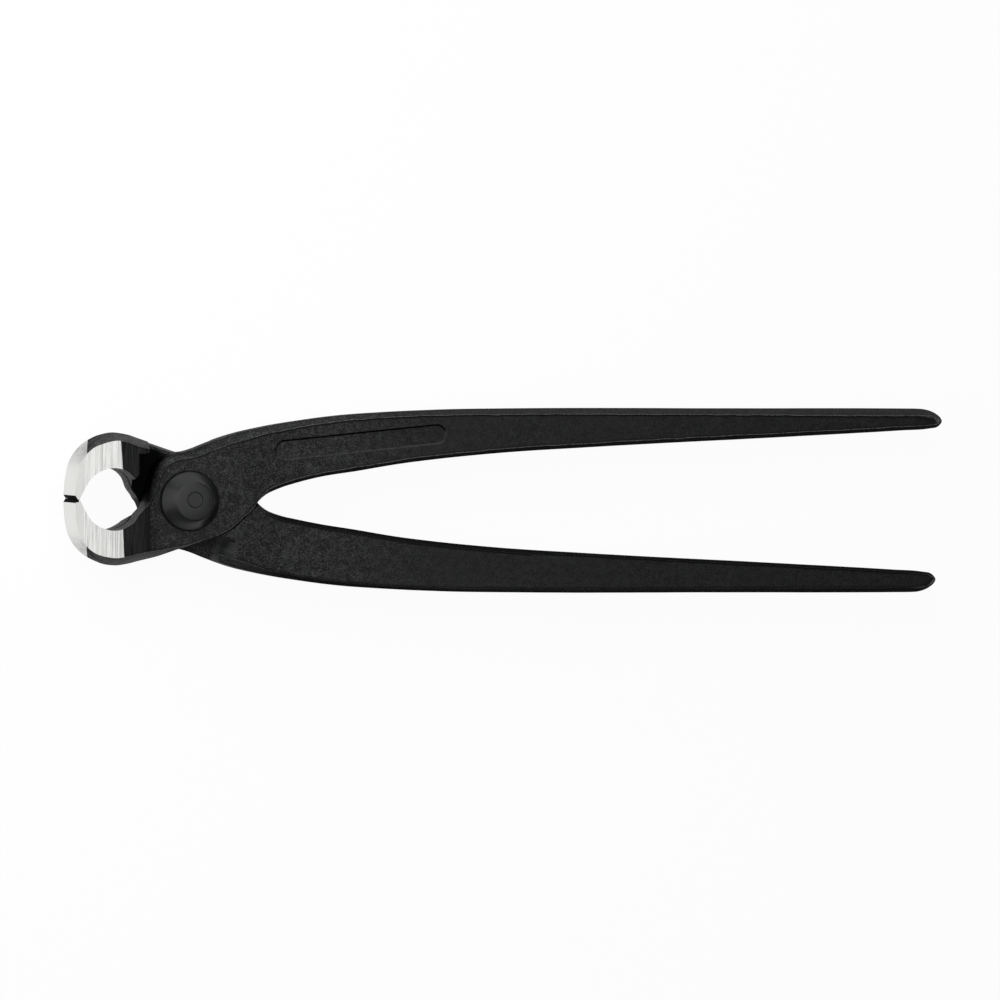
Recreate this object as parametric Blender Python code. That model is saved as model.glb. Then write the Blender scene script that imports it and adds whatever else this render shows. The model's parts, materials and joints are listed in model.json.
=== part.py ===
"""Rebar tying pliers, 220 mm long: two forged levers that lap at one rivet.

Each lever is jaw, lap plate and handle in one forging. The front lever holds the lower
jaw and the upper handle, and its plate lies on top. The rear lever is the same forging
turned half round about the long axis, with a slightly shorter handle.
"""

import math

import bmesh
import bpy
from mathutils import Vector
from mathutils.geometry import interpolate_bezier

# Driving sizes, in metres. A lever is drawn about its rivet: the jaw lies towards -X,
# the handle towards +X, and the faces on which the two levers slide lie near z = 0.
OVERALL_LENGTH = 0.2200
JAW_REACH = 0.02845
REAR_SHORTFALL = 0.00145
HALF_SPREAD = 0.02272
HANDLE_TIP_WIDTH = 0.00487
BEND_LENGTH = 0.0850
CROTCH_REACH = 0.01695

HEAD_HALF_HEIGHT = 0.01633
HOLLOW_HALF_HEIGHT = 0.00758
MEETING_OFFSET = 0.00037
EDGE_GAP = 0.0003
GROOVE_DEPTH = 0.0008
GROOVE_HALF_HEIGHT = 0.0010
PLATE_RADIUS = 0.0122

# Half thicknesses, from the joint plane to a side face.
JAW_TIP_HALF = 0.0075
JAW_FLAT_HALF = 0.0085
PLATE_HALF = 0.0078
HANDLE_ROOT_HALF = 0.0050
HANDLE_TIP_HALF = 0.0032

# The rounded rims that the dies leave round each side face.
RIM_OUTER = 0.0020
RIM_INNER = 0.0010
RIM_NOSE = 0.0017

# The lap: how far each lever is cut away to clear the other one's plate.
JOINT_GAP = 0.0003
SHOULDER_CLEARANCE = 0.00035
SHOULDER_KINK = 0.0070
SHOULDER_SLANT = 0.0026
TOE_LENGTH = 0.0026
TOE_DRAFT = 0.0006
WALL_CLEARANCE = 0.0004
WALL_DRAFT = 0.0003
RAMP_REACH = 0.0110

# The rivet and its seat.
SHANK_RADIUS = 0.0045
SHANK_CLEARANCE = 0.0002
RIVET_HEAD_RADIUS = 0.0074
RIVET_HEAD_HEIGHT = 0.0036
RIVET_FLAT_RADIUS = 0.0046
RIVET_FLAT_OFFSET = 0.0005
RIVET_MARK_RADIUS = 0.00215
RIVET_MARK_DEPTH = 0.00015
HEAD_SEAT_GAP = 0.0002

# The shallow field on the front handle.
FIELD_LENGTH = 0.0434
FIELD_HEIGHT = 0.0053
FIELD_DEPTH = 0.0004
FIELD_TILT = math.radians(5.8)

# Facet lengths, and how far a cutter runs past the metal that it cuts.
HEAD_FACET = 0.0021
HOLLOW_FACET = 0.0015
TIP_FACET = 0.0009
BEND_FACET = 0.0050
HANDLE_FACET = 0.0110
OVERRUN = 0.0060
SNAP = 0.00006
ROUND_SEGMENTS = 48
SMOOTH_ANGLE = math.radians(24)

# Black oxide over steel: colour, roughness and metallic value.
FORGED_FINISH = ((0.028, 0.028, 0.029), 0.48, 0.6)
RIVET_FINISH = ((0.036, 0.036, 0.037), 0.38, 0.6)

FRONT_HANDLE_REACH = OVERALL_LENGTH - JAW_REACH
REAR_HANDLE_REACH = FRONT_HANDLE_REACH - REAR_SHORTFALL
HEAD_SEAT = PLATE_HALF + HEAD_SEAT_GAP
RIVET_HALF_LENGTH = HEAD_SEAT + RIVET_HEAD_HEIGHT
INNER_EDGE_END = HALF_SPREAD - HANDLE_TIP_WIDTH
SHOULDER_REACH = PLATE_RADIUS + SHOULDER_CLEARANCE

# Outline tables. Each row gives shares of the sizes named beside it, then the share of
# the rim. They run once round the lever, against the clock, seen from its plate side.

# Back of the jaw, from the groove at the mouth to the plate: shares of JAW_REACH and of
# HEAD_HALF_HEIGHT.
JAW_BACK_SHARES = (
    (0.997, 0.306, 0.16),
    (0.961, 0.573, 0.35),
    (0.916, 0.704, 0.60),
    (0.849, 0.830, 0.90),
    (0.782, 0.917, 1.00),
    (0.722, 0.968, 1.00),
    (0.627, 1.000, 1.00),
    (0.540, 0.978, 1.00),
    (0.413, 0.901, 1.00),
    (0.253, 0.818, 0.90),
)
# Underside of the lap plate: shares of PLATE_RADIUS, both ways.
PLATE_UNDERSIDE_SHARES = (
    (-0.217, -0.975, 0.50),
    (0.037, -0.914, 0.32),
    (0.455, -0.770, 0.25),
    (0.668, -0.689, 0.25),
    (1.004, -0.484, 0.25),
    (1.168, -0.328, 0.30),
)
# Inner edge of the handle: shares of the length behind CROTCH_REACH, and of
# INNER_EDGE_END.
INNER_EDGE_SHARES = (
    (0.0000, -0.067, 0.7),
    (0.0069, 0.011, 0.8),
    (0.0175, 0.098, 0.9),
    (0.0367, 0.180, 1.0),
    (0.0661, 0.258, 1.0),
    (0.0951, 0.320, 1.0),
    (0.1529, 0.409, 1.0),
    (0.2113, 0.504, 1.0),
    (0.2692, 0.575, 1.0),
    (0.3562, 0.656, 1.0),
    (0.5017, 0.745, 1.0),
    (0.7915, 0.891, 1.0),
    (0.9400, 0.973, 0.95),
)
# Tip of the handle: shares of HANDLE_TIP_WIDTH, back from the end and out from the
# inner edge.
HANDLE_TIP_SHARES = (
    (0.626, 0.000, 0.90),
    (0.257, 0.072, 0.85),
    (0.082, 0.216, 0.85),
    (0.000, 0.380, 0.85),
    (0.072, 0.544, 0.95),
    (0.277, 0.729, 1.15),
    (0.585, 0.893, 1.40),
    (0.893, 0.975, 1.60),
    (1.222, 1.000, 1.70),
    (1.700, 1.004, 1.75),
)
# Outer edge of the handle between its bend and its end: share of that length, and of
# the rise from PLATE_RADIUS to HALF_SPREAD.
STRAIGHT_EDGE_SHARES = (0.48, 1.003, 1.0)
# Outer edge of the handle in its bend: shares of BEND_LENGTH, and of the same rise.
OUTER_EDGE_SHARES = (
    (1.000, 1.000, 1.0),
    (0.763, 0.971, 1.0),
    (0.585, 0.906, 1.0),
    (0.466, 0.840, 1.0),
    (0.347, 0.722, 1.0),
    (0.228, 0.564, 1.0),
    (0.127, 0.371, 1.0),
    (0.056, 0.164, 0.95),
    (0.020, 0.049, 0.90),
)
# Nose of the lap plate: shares of PLATE_RADIUS, both ways.
PLATE_NOSE_SHARES = (
    (-0.045, 0.990, 1.0),
    (-0.255, 0.963, 1.0),
    (-0.512, 0.832, 1.0),
    (-0.611, 0.730, 1.0),
    (-0.709, 0.508, 0.9),
    (-0.775, 0.303, 0.8),
    (-0.832, 0.172, 0.6),
    (-0.885, 0.008, 0.4),
)
# The hollow, from the plate's nose to the cutting edge: shares of the reach from
# PLATE_RADIUS to JAW_REACH, and of HOLLOW_HALF_HEIGHT.
HOLLOW_SHARES = (
    (-0.036, 0.165),
    (0.055, 0.409),
    (0.118, 0.712),
    (0.191, 0.858),
    (0.301, 0.970),
    (0.382, 1.000),
    (0.512, 0.963),
    (0.603, 0.897),
    (0.683, 0.796),
    (0.769, 0.607),
    (0.837, 0.363),
    (0.898, 0.119),
)
# Section of a rim: share of the half thickness, share of the rim's width.
RIM_SECTION_SHARES = (
    (0.00, 0.00),
    (0.60, 0.14),
    (0.86, 0.42),
    (1.00, 1.00),
)
# Side view: how the half thickness runs from one named size to the next.
PLATE_SLOPE_SHARES = ((0.0, 0.00), (0.3, 0.34), (0.6, 0.72), (1.0, 1.00))
ROOT_SLOPE_SHARES = (
    (0.00, 0.00),
    (0.12, 0.09),
    (0.27, 0.31),
    (0.45, 0.58),
    (0.68, 0.83),
    (1.00, 1.00),
)
HANDLE_SLOPE_SHARES = (
    (0.00, 0.00),
    (0.12, 0.26),
    (0.30, 0.46),
    (0.60, 0.70),
    (1.00, 1.00),
)
# Where the jaw's flat starts and ends and the plate's flat starts: shares of JAW_REACH.
JAW_FLAT_START_SHARE = 0.605
JAW_FLAT_END_SHARE = 0.386
PLATE_FLAT_START_SHARE = 0.272
# Where the handle's root starts and ends: shares of PLATE_RADIUS and of CROTCH_REACH.
ROOT_START_SHARE = 0.805
ROOT_END_SHARE = 2.15
# Rim at the mouth: share of RIM_OUTER.
MOUTH_RIM_SHARE = 0.10
# Where the line of the jaws fades into the rivet's line, and where the shoulder's straight
# run ends: shares of PLATE_RADIUS.
JAW_LINE_FADE_SHARES = (0.74, 1.11)
SHOULDER_TOP_SHARE = 0.94
# Foot of the ramp behind the lap, from the other plate's underside out to the edge of the
# handle: shares of PLATE_RADIUS, both ways.
RAMP_FOOT_SHARES = ((0.66, 0.83), (0.59, 0.985), (0.56, 1.15))
# Section of that ramp, on past the side face: shares of its length and of its rise.
RAMP_SECTION_SHARES = (
    (0.08, 0.22),
    (0.22, 0.46),
    (0.42, 0.69),
    (0.68, 0.88),
    (1.36, 1.13),
)
# Rivet head: height of its straight edge, chamfer at its seat and fall of its brow, as
# shares of RIVET_HEAD_HEIGHT.
RIVET_EDGE_SHARE = 0.26
RIVET_CHAMFER_SHARE = 0.06
RIVET_FALL_SHARE = 0.10
# Middle of the shallow field: shares of BEND_LENGTH and of HALF_SPREAD.
FIELD_PLACE_SHARES = (0.516, 0.643)


def clear_scene():
    """Remove every object of the opening scene."""
    for old in list(bpy.data.objects):
        bpy.data.objects.remove(old)


def steel_material(name, finish):
    """A plain material for one finish of steel."""
    colour, roughness, metallic = finish
    material = bpy.data.materials.new(name)
    material.use_nodes = True
    shader = material.node_tree.nodes["Principled BSDF"]
    shader.inputs["Base Color"].default_value = (*colour, 1.0)
    shader.inputs["Roughness"].default_value = roughness
    shader.inputs["Metallic"].default_value = metallic
    return material


def between(start, end, share):
    """The value that lies the given share of the way from start to end."""
    return start + (end - start) * share


def jaw_line(x, offset):
    """Height of the line on which the jaws meet, which lies a little off the rivet."""
    fade_start, fade_end = (-PLATE_RADIUS * share for share in JAW_LINE_FADE_SHARES)
    share = min(1.0, max(0.0, (fade_start - x) / (fade_start - fade_end)))
    return offset * share


def lever_knots(handle_reach, offset):
    """Knots of the lever's outline: x, y, rim width and facet length of each."""
    mouth_y = jaw_line(-JAW_REACH, offset) - GROOVE_HALF_HEIGHT
    knots = [(-JAW_REACH, mouth_y, RIM_OUTER * MOUTH_RIM_SHARE, HEAD_FACET)]
    for along, up, rim in JAW_BACK_SHARES:
        x = -JAW_REACH * along
        y = jaw_line(x, offset) - HEAD_HALF_HEIGHT * up
        knots.append((x, y, RIM_OUTER * rim, HEAD_FACET))
    for along, up, rim in PLATE_UNDERSIDE_SHARES:
        knots.append((PLATE_RADIUS * along, PLATE_RADIUS * up, RIM_OUTER * rim, HEAD_FACET))
    for along, up, rim in INNER_EDGE_SHARES:
        x = between(CROTCH_REACH, handle_reach, along)
        facet = BEND_FACET if x < BEND_LENGTH else HANDLE_FACET
        knots.append((x, INNER_EDGE_END * up, RIM_INNER * rim, facet))
    for back, out, rim in HANDLE_TIP_SHARES:
        x = handle_reach - HANDLE_TIP_WIDTH * back
        y = INNER_EDGE_END + HANDLE_TIP_WIDTH * out
        facet = TIP_FACET if back < 1 else HANDLE_FACET
        knots.append((x, y, RIM_INNER * rim, facet))
    along, up, rim = STRAIGHT_EDGE_SHARES
    straight_x = between(BEND_LENGTH, handle_reach, along)
    straight_y = between(PLATE_RADIUS, HALF_SPREAD, up)
    knots.append((straight_x, straight_y, RIM_OUTER * rim, BEND_FACET))
    for along, up, rim in OUTER_EDGE_SHARES:
        y = between(PLATE_RADIUS, HALF_SPREAD, up)
        knots.append((BEND_LENGTH * along, y, RIM_OUTER * rim, BEND_FACET))
    for along, up, rim in PLATE_NOSE_SHARES:
        knots.append((PLATE_RADIUS * along, PLATE_RADIUS * up, RIM_NOSE * rim, HEAD_FACET))
    for along, up in HOLLOW_SHARES:
        x = -between(PLATE_RADIUS, JAW_REACH, along)
        y = jaw_line(x, offset) - HOLLOW_HALF_HEIGHT * up
        knots.append((x, y, 0.0, HOLLOW_FACET))
    edge_x = GROOVE_DEPTH - JAW_REACH
    knots.append((edge_x, jaw_line(edge_x, offset) - EDGE_GAP / 2, 0.0, HOLLOW_FACET))
    return knots


def curve_tangent(before, here, after):
    """Direction of a smooth curve at one knot, led by the nearer of its neighbours."""
    arrival = here - before
    departure = after - here
    blend = arrival.normalized() * departure.length + departure.normalized() * arrival.length
    return blend.normalized()


def smooth_outline(knots):
    """Points x, y, rim on a smooth open curve through the knots."""
    spots = [Vector(knot[:3]) for knot in knots]
    tangents = [(spots[1] - spots[0]).normalized()]
    tangents.extend(curve_tangent(*spots[i - 1:i + 2]) for i in range(1, len(spots) - 1))
    tangents.append((spots[-1] - spots[-2]).normalized())
    outline = [spots[0]]
    for i in range(len(spots) - 1):
        length = (spots[i + 1] - spots[i]).length
        count = max(2, math.ceil(length / knots[i][3]) + 1)
        reach = length / 3.0
        run = interpolate_bezier(
            spots[i],
            spots[i] + tangents[i] * reach,
            spots[i + 1] - tangents[i + 1] * reach,
            spots[i + 1],
            count,
        )
        outline.extend(run[1:])
    return outline


def inset_outline(outline, rim_share):
    """The outline moved inwards by a share of the rim that each point carries."""
    moved = []
    count = len(outline)
    for i, here in enumerate(outline):
        before = (here - outline[i - 1]).to_2d().normalized()
        after = (outline[(i + 1) % count] - here).to_2d().normalized()
        inward = Vector((-before.y - after.y, before.x + after.x)).normalized()
        depth = max(0.0, here.z) * rim_share
        moved.append(here.to_2d() + inward * depth)
    return moved


def side_profile(handle_reach):
    """Stations x, half thickness along the lever, the same on both sides."""
    stations = [(-JAW_REACH - OVERRUN, JAW_TIP_HALF)]
    stations.append((-JAW_REACH, JAW_TIP_HALF))
    flat_start = -JAW_REACH * JAW_FLAT_START_SHARE
    flat_end = -JAW_REACH * JAW_FLAT_END_SHARE
    plate_start = -JAW_REACH * PLATE_FLAT_START_SHARE
    stations.append((flat_start, JAW_FLAT_HALF))
    for along, drop in PLATE_SLOPE_SHARES:
        x = between(flat_end, plate_start, along)
        stations.append((x, between(JAW_FLAT_HALF, PLATE_HALF, drop)))
    root_start = PLATE_RADIUS * ROOT_START_SHARE
    root_end = CROTCH_REACH * ROOT_END_SHARE
    for along, drop in ROOT_SLOPE_SHARES:
        x = between(root_start, root_end, along)
        stations.append((x, between(PLATE_HALF, HANDLE_ROOT_HALF, drop)))
    for along, drop in HANDLE_SLOPE_SHARES[1:]:
        x = between(root_end, handle_reach, along)
        stations.append((x, between(HANDLE_ROOT_HALF, HANDLE_TIP_HALF, drop)))
    return stations


def height_at(stations, x):
    """Half thickness at x, on straight runs between the stations."""
    if x <= stations[0][0]:
        return stations[0][1]
    for (x0, h0), (x1, h1) in zip(stations, stations[1:]):
        if x <= x1:
            return between(h0, h1, (x - x0) / (x1 - x0))
    return stations[-1][1]


def new_object(name, mesh, material):
    """Put a mesh into the scene as one named object."""
    item = bpy.data.objects.new(name, mesh)
    bpy.context.scene.collection.objects.link(item)
    if material:
        mesh.materials.append(material)
    return item


def mesh_from(bm, name):
    """Turn a bmesh into a mesh with its faces pointing out."""
    bmesh.ops.recalc_face_normals(bm, faces=bm.faces)
    mesh = bpy.data.meshes.new(name)
    bm.to_mesh(mesh)
    bm.free()
    return mesh


def skin_rings(bm, rings):
    """Join a stack of rings of equal count with faces and close both ends."""
    count = len(rings[0])
    for low, high in zip(rings, rings[1:]):
        for i in range(count):
            j = (i + 1) % count
            bm.faces.new((low[i], low[j], high[j], high[i]))
    bm.faces.new(list(reversed(rings[0])))
    bm.faces.new(rings[-1])


def cut_at_stations(bm, stations):
    """Cut the mesh across at each station, so that its faces can bend there."""
    for x, _ in stations:
        geometry = bm.verts[:] + bm.edges[:] + bm.faces[:]
        bmesh.ops.bisect_plane(
            bm, geom=geometry, plane_co=(x, 0, 0), plane_no=(1, 0, 0), dist=SNAP
        )


def lever_body(name, handle_reach, offset):
    """The whole forging: outline, rims and side view, before the lap is cut."""
    outline = smooth_outline(lever_knots(handle_reach, offset))
    stations = side_profile(handle_reach)
    sections = [(-up, rim) for up, rim in reversed(RIM_SECTION_SHARES[1:])]
    sections.extend(RIM_SECTION_SHARES)
    bm = bmesh.new()
    rings = []
    for up, rim in sections:
        loop = inset_outline(outline, rim)
        rings.append([bm.verts.new((spot.x, spot.y, up * PLATE_HALF)) for spot in loop])
    skin_rings(bm, rings)
    cut_at_stations(bm, stations)
    for vert in bm.verts:
        vert.co.z *= height_at(stations, vert.co.x) / PLATE_HALF
    return mesh_from(bm, name)


def lofted(name, levels):
    """A closed body through loops of x, y points, each at its own height."""
    bm = bmesh.new()
    rings = [[bm.verts.new((x, y, z)) for x, y in loop] for z, loop in levels]
    skin_rings(bm, rings)
    return mesh_from(bm, name)


def as_cutter(item):
    """Mark an object as a cutting guide that is not part of the tool."""
    item.hide_render = True
    item.display_type = "WIRE"
    return item


def cut(item, cutters):
    """Take all of an object's cutters out of it in one step, and merge the shortest edges."""
    group = bpy.data.collections.new(item.name + "_cuts")
    for cutter in cutters:
        group.objects.link(cutter)
    tool = item.modifiers.new("cuts", "BOOLEAN")
    tool.operation = "DIFFERENCE"
    tool.operand_type = "COLLECTION"
    tool.collection = group
    seam = item.modifiers.new("short_edges", "WELD")
    seam.mode = "CONNECTED"
    seam.merge_threshold = SNAP


def lap_wall(handle_reach, ramp_share):
    """Handle side of the recess, at a share of the ramp's length.

    It follows the underside of the other lever's plate, and then leaves it for the foot
    of the ramp, on a line that the other jaw clears as the tool opens.
    """
    foot = []
    for along, up, _ in reversed(INNER_EDGE_SHARES[:2]):
        foot.append((between(CROTCH_REACH, handle_reach, along), -INNER_EDGE_END * up))
    for along, up, _ in reversed(PLATE_UNDERSIDE_SHARES[3:]):
        foot.append((PLATE_RADIUS * along, -PLATE_RADIUS * up))
    wall = []
    for x, y in foot:
        grown = 1 + WALL_CLEARANCE / math.hypot(x, y)
        wall.append((x * grown, y * grown))
    wall.extend((PLATE_RADIUS * along, PLATE_RADIUS * up) for along, up in RAMP_FOOT_SHARES)
    return [
        (between(x, max(x + WALL_DRAFT, RAMP_REACH), ramp_share), y) for x, y in wall
    ]


def lap_loop(handle_reach, ramp_share):
    """The recess for the other plate: straight shoulder at the jaw, wall at the handle."""
    slant_x = -SHOULDER_REACH - SHOULDER_SLANT
    toe_x = TOE_LENGTH - SHOULDER_REACH
    shoulder_top = PLATE_RADIUS * SHOULDER_TOP_SHARE
    outside = HALF_SPREAD + OVERRUN
    wall = lap_wall(handle_reach, ramp_share)
    return (
        (slant_x, SHOULDER_SLANT - SHOULDER_KINK),
        (-SHOULDER_REACH, -SHOULDER_KINK),
        (-SHOULDER_REACH, -shoulder_top),
        (toe_x, -shoulder_top - JOINT_GAP),
        (toe_x + TOE_DRAFT, -outside),
        (wall[0][0], -outside),
        *wall,
        (wall[-1][0], outside),
        (slant_x, outside),
    )


def lap_cutter(name, handle_reach):
    """The room for the other lever's plate, with a ramp up to the handle behind it."""
    top = height_at(side_profile(handle_reach), RAMP_REACH)
    levels = [(JOINT_GAP / 2, lap_loop(handle_reach, 0))]
    for along, rise in RAMP_SECTION_SHARES:
        levels.append((-top * rise, lap_loop(handle_reach, along)))
    levels.append((-JAW_FLAT_HALF - OVERRUN, lap_loop(handle_reach, along)))
    return as_cutter(new_object(name, lofted(name, levels), None))


def bore_cutter(name):
    """The rivet's bore through a lap plate."""
    bm = bmesh.new()
    bmesh.ops.create_cone(
        bm,
        cap_ends=True,
        segments=ROUND_SEGMENTS,
        radius1=SHANK_RADIUS + SHANK_CLEARANCE,
        radius2=SHANK_RADIUS + SHANK_CLEARANCE,
        depth=(PLATE_HALF + OVERRUN) * 2,
    )
    return as_cutter(new_object(name, mesh_from(bm, name), None))


def field_cutter(name, handle_reach):
    """The shallow field with round ends, at one depth below the curved side face."""
    radius = FIELD_HEIGHT / 2
    straight = FIELD_LENGTH / 2 - radius
    steps = ROUND_SEGMENTS // 4
    middle_x = BEND_LENGTH * FIELD_PLACE_SHARES[0]
    middle_y = HALF_SPREAD * FIELD_PLACE_SHARES[1]
    loop = []
    for side in (1, -1):
        for step in range(steps + 1):
            angle = math.pi * (step / steps - 0.5)
            across = radius * math.sin(angle) * side
            along = (straight + radius * math.cos(angle)) * side
            x = along * math.cos(FIELD_TILT) - across * math.sin(FIELD_TILT)
            y = along * math.sin(FIELD_TILT) + across * math.cos(FIELD_TILT)
            loop.append((middle_x + x, middle_y + y))
    near = side_profile(handle_reach)
    bm = bmesh.new()
    rings = [[bm.verts.new((x, y, z)) for x, y in loop] for z in (0.0, OVERRUN)]
    skin_rings(bm, rings)
    cut_at_stations(bm, near)
    for vert in bm.verts:
        vert.co.z += height_at(near, vert.co.x) - FIELD_DEPTH
    return as_cutter(new_object(name, mesh_from(bm, name), None))


def lever(name, handle_reach, offset, has_field, material, parent):
    """One lever: forged body, lap recess and rivet bore, and the field on the front one."""
    item = new_object(name, lever_body(name, handle_reach, offset), material)
    item.data.shade_smooth()
    item.data.set_sharp_from_angle(angle=SMOOTH_ANGLE)
    cutters = [lap_cutter(name + "_lap_cut", handle_reach), bore_cutter(name + "_bore_cut")]
    if has_field:
        cutters.append(field_cutter(name + "_field_cut", handle_reach))
    cut(item, cutters)
    for piece in (item, *cutters):
        piece.parent = parent


def rivet_rings():
    """Half section of the rivet: radius, height and sideways offset of each ring."""
    foot = HEAD_SEAT
    top = RIVET_HALF_LENGTH
    edge = RIVET_HEAD_HEIGHT * RIVET_EDGE_SHARE
    corner = RIVET_HEAD_HEIGHT * RIVET_CHAMFER_SHARE
    fall = RIVET_HEAD_HEIGHT * RIVET_FALL_SHARE
    return (
        (SHANK_RADIUS, foot, 0.0),
        (RIVET_HEAD_RADIUS - corner, foot, 0.0),
        (RIVET_HEAD_RADIUS, foot + corner, 0.0),
        (RIVET_HEAD_RADIUS, foot + edge, 0.0),
        (RIVET_HEAD_RADIUS - fall, foot + edge + fall, 0.0),
        (RIVET_FLAT_RADIUS + corner, top - corner, RIVET_FLAT_OFFSET),
        (RIVET_FLAT_RADIUS, top, RIVET_FLAT_OFFSET),
        (RIVET_MARK_RADIUS + RIVET_MARK_DEPTH, top, RIVET_FLAT_OFFSET),
        (RIVET_MARK_RADIUS, top - RIVET_MARK_DEPTH, RIVET_FLAT_OFFSET),
    )


def rivet(name, material):
    """The rivet with both its heads, turned about the joint's axis."""
    half = rivet_rings()
    section = [(radius, -up, out) for radius, up, out in reversed(half)] + list(half)
    bm = bmesh.new()
    rings = []
    for radius, up, out in section:
        ring = []
        for i in range(ROUND_SEGMENTS):
            angle = 2 * math.pi * i / ROUND_SEGMENTS
            spot = (out + radius * math.cos(angle), radius * math.sin(angle), up)
            ring.append(bm.verts.new(spot))
        rings.append(ring)
    skin_rings(bm, rings)
    item = new_object(name, mesh_from(bm, name), material)
    item.data.shade_smooth()
    item.data.set_sharp_from_angle(angle=SMOOTH_ANGLE)
    return item


def build():
    """Set the three pieces about the rivet's axis, with the tool's foot at z = 0."""
    clear_scene()
    forged = steel_material("black_forged_steel", FORGED_FINISH)
    pressed = steel_material("black_rivet_steel", RIVET_FINISH)

    pivot = bpy.data.objects.new("pivot", None)
    bpy.context.scene.collection.objects.link(pivot)
    pivot.location = ((JAW_REACH - FRONT_HANDLE_REACH) / 2, 0, RIVET_HALF_LENGTH)
    turned = bpy.data.objects.new("rear_side", None)
    bpy.context.scene.collection.objects.link(turned)
    turned.parent = pivot
    turned.rotation_euler = (math.pi, 0, 0)

    lever("front_lever", FRONT_HANDLE_REACH, MEETING_OFFSET, True, forged, pivot)
    lever("rear_lever", REAR_HANDLE_REACH, -MEETING_OFFSET, False, forged, turned)
    rivet("rivet", pressed).parent = pivot


build()
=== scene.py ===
# %% [markdown]
# # Rebar tying pliers
# The tool is two forged levers that lap at one rivet. This lesson builds the fine surface
# of each piece over the measured frame, gives every finish its own material, and lights
# the tool as a studio would. The first cell loads the frame, whose pieces keep their place.

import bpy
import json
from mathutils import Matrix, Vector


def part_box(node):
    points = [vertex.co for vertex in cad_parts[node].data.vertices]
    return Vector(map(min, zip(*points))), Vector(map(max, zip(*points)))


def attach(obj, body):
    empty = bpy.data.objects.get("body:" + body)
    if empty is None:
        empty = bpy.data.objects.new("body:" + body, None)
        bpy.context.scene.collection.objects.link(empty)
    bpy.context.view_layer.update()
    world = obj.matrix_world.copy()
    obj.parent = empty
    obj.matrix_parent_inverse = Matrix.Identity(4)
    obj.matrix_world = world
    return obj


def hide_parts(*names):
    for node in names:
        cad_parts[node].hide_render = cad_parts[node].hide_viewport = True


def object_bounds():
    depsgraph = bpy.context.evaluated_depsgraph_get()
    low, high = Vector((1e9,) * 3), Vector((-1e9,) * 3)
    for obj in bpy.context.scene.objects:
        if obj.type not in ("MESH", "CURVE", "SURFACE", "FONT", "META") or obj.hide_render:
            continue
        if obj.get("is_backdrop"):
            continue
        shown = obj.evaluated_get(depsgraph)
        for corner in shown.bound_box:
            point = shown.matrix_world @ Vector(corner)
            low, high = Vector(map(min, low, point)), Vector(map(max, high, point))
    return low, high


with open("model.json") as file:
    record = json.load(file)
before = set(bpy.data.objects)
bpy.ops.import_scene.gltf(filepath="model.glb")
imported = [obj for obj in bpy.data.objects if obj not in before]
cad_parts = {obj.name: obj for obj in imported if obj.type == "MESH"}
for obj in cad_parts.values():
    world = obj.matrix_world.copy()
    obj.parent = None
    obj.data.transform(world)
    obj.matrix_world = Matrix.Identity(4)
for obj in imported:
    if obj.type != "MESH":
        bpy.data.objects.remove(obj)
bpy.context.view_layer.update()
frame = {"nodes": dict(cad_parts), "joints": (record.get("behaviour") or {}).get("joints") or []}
print("frame nodes:", sorted(frame["nodes"]))

# %% Tools of the trade
import json
import math

import bmesh
import bpy
from mathutils import Matrix, Vector, kdtree, noise
from mathutils.geometry import interpolate_bezier

MM = 0.001


def between(start, end, share):
    """The value that lies the given share of the way from start to end."""
    return start + (end - start) * share


def ease(low, high, value):
    """0 below low, 1 above high, and a smooth rise between them."""
    share = min(1.0, max(0.0, (value - low) / (high - low)))
    return share * share * (3 - 2 * share)


def paint(hex_code):
    """An sRGB hex colour as the linear colour that a shader wants."""
    shades = [int(hex_code[i:i + 2], 16) / 255 for i in (1, 3, 5)]
    linear = [s / 12.92 if s <= 0.04045 else ((s + 0.055) / 1.055) ** 2.4 for s in shades]
    return (*linear, 1.0)


print("one millimetre is", MM, "m")

# %% [markdown]
# ## Camera
# The picture was taken from far away with a long lens, almost square to the tool: the
# near rim of each jaw stands 15 pixels to the right of its far rim. The jaw is 17 mm
# thick, so the camera stands 12.5 degrees to the left. It is set by its own three axes,
# which keeps the tool level in the picture.

# %% Set up the camera
PICTURE_WIDTH = 246.6 * MM
CAMERA_DISTANCE = 6.0
SENSOR = 36 * MM
TURN_LEFT = math.radians(12.5)
TURN_UP = math.radians(1.1)
joint = frame["joints"][0]
PIVOT = Vector(joint["pos_m"])
AIM = PIVOT + Vector((80.0, 0.07, 0.0)) * MM

back = Vector((-math.sin(TURN_LEFT) * math.cos(TURN_UP), math.sin(TURN_UP),
               math.cos(TURN_LEFT) * math.cos(TURN_UP)))
up = back.cross(Vector((1, 0, 0))).normalized()
right = up.cross(back)
camera = bpy.data.objects.new("camera", bpy.data.cameras.new("camera"))
bpy.context.scene.collection.objects.link(camera)
camera.matrix_world = Matrix.Translation(AIM + back * CAMERA_DISTANCE) @ Matrix(
    (right, up, back)).transposed().to_4x4()
camera.data.sensor_width = SENSOR / MM
camera.data.lens = SENSOR / MM * CAMERA_DISTANCE / PICTURE_WIDTH
camera.data.clip_end = CAMERA_DISTANCE * 2
bpy.context.scene.camera = camera
print("camera looks at", [round(value, 4) for value in AIM])

# %% [markdown]
# ## Main sizes
# A lever is drawn about its rivet: jaw towards -X, handle towards +X, lap plate on the
# +Z side of the joint plane. The lengths repeat those of the solid frame.

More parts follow.
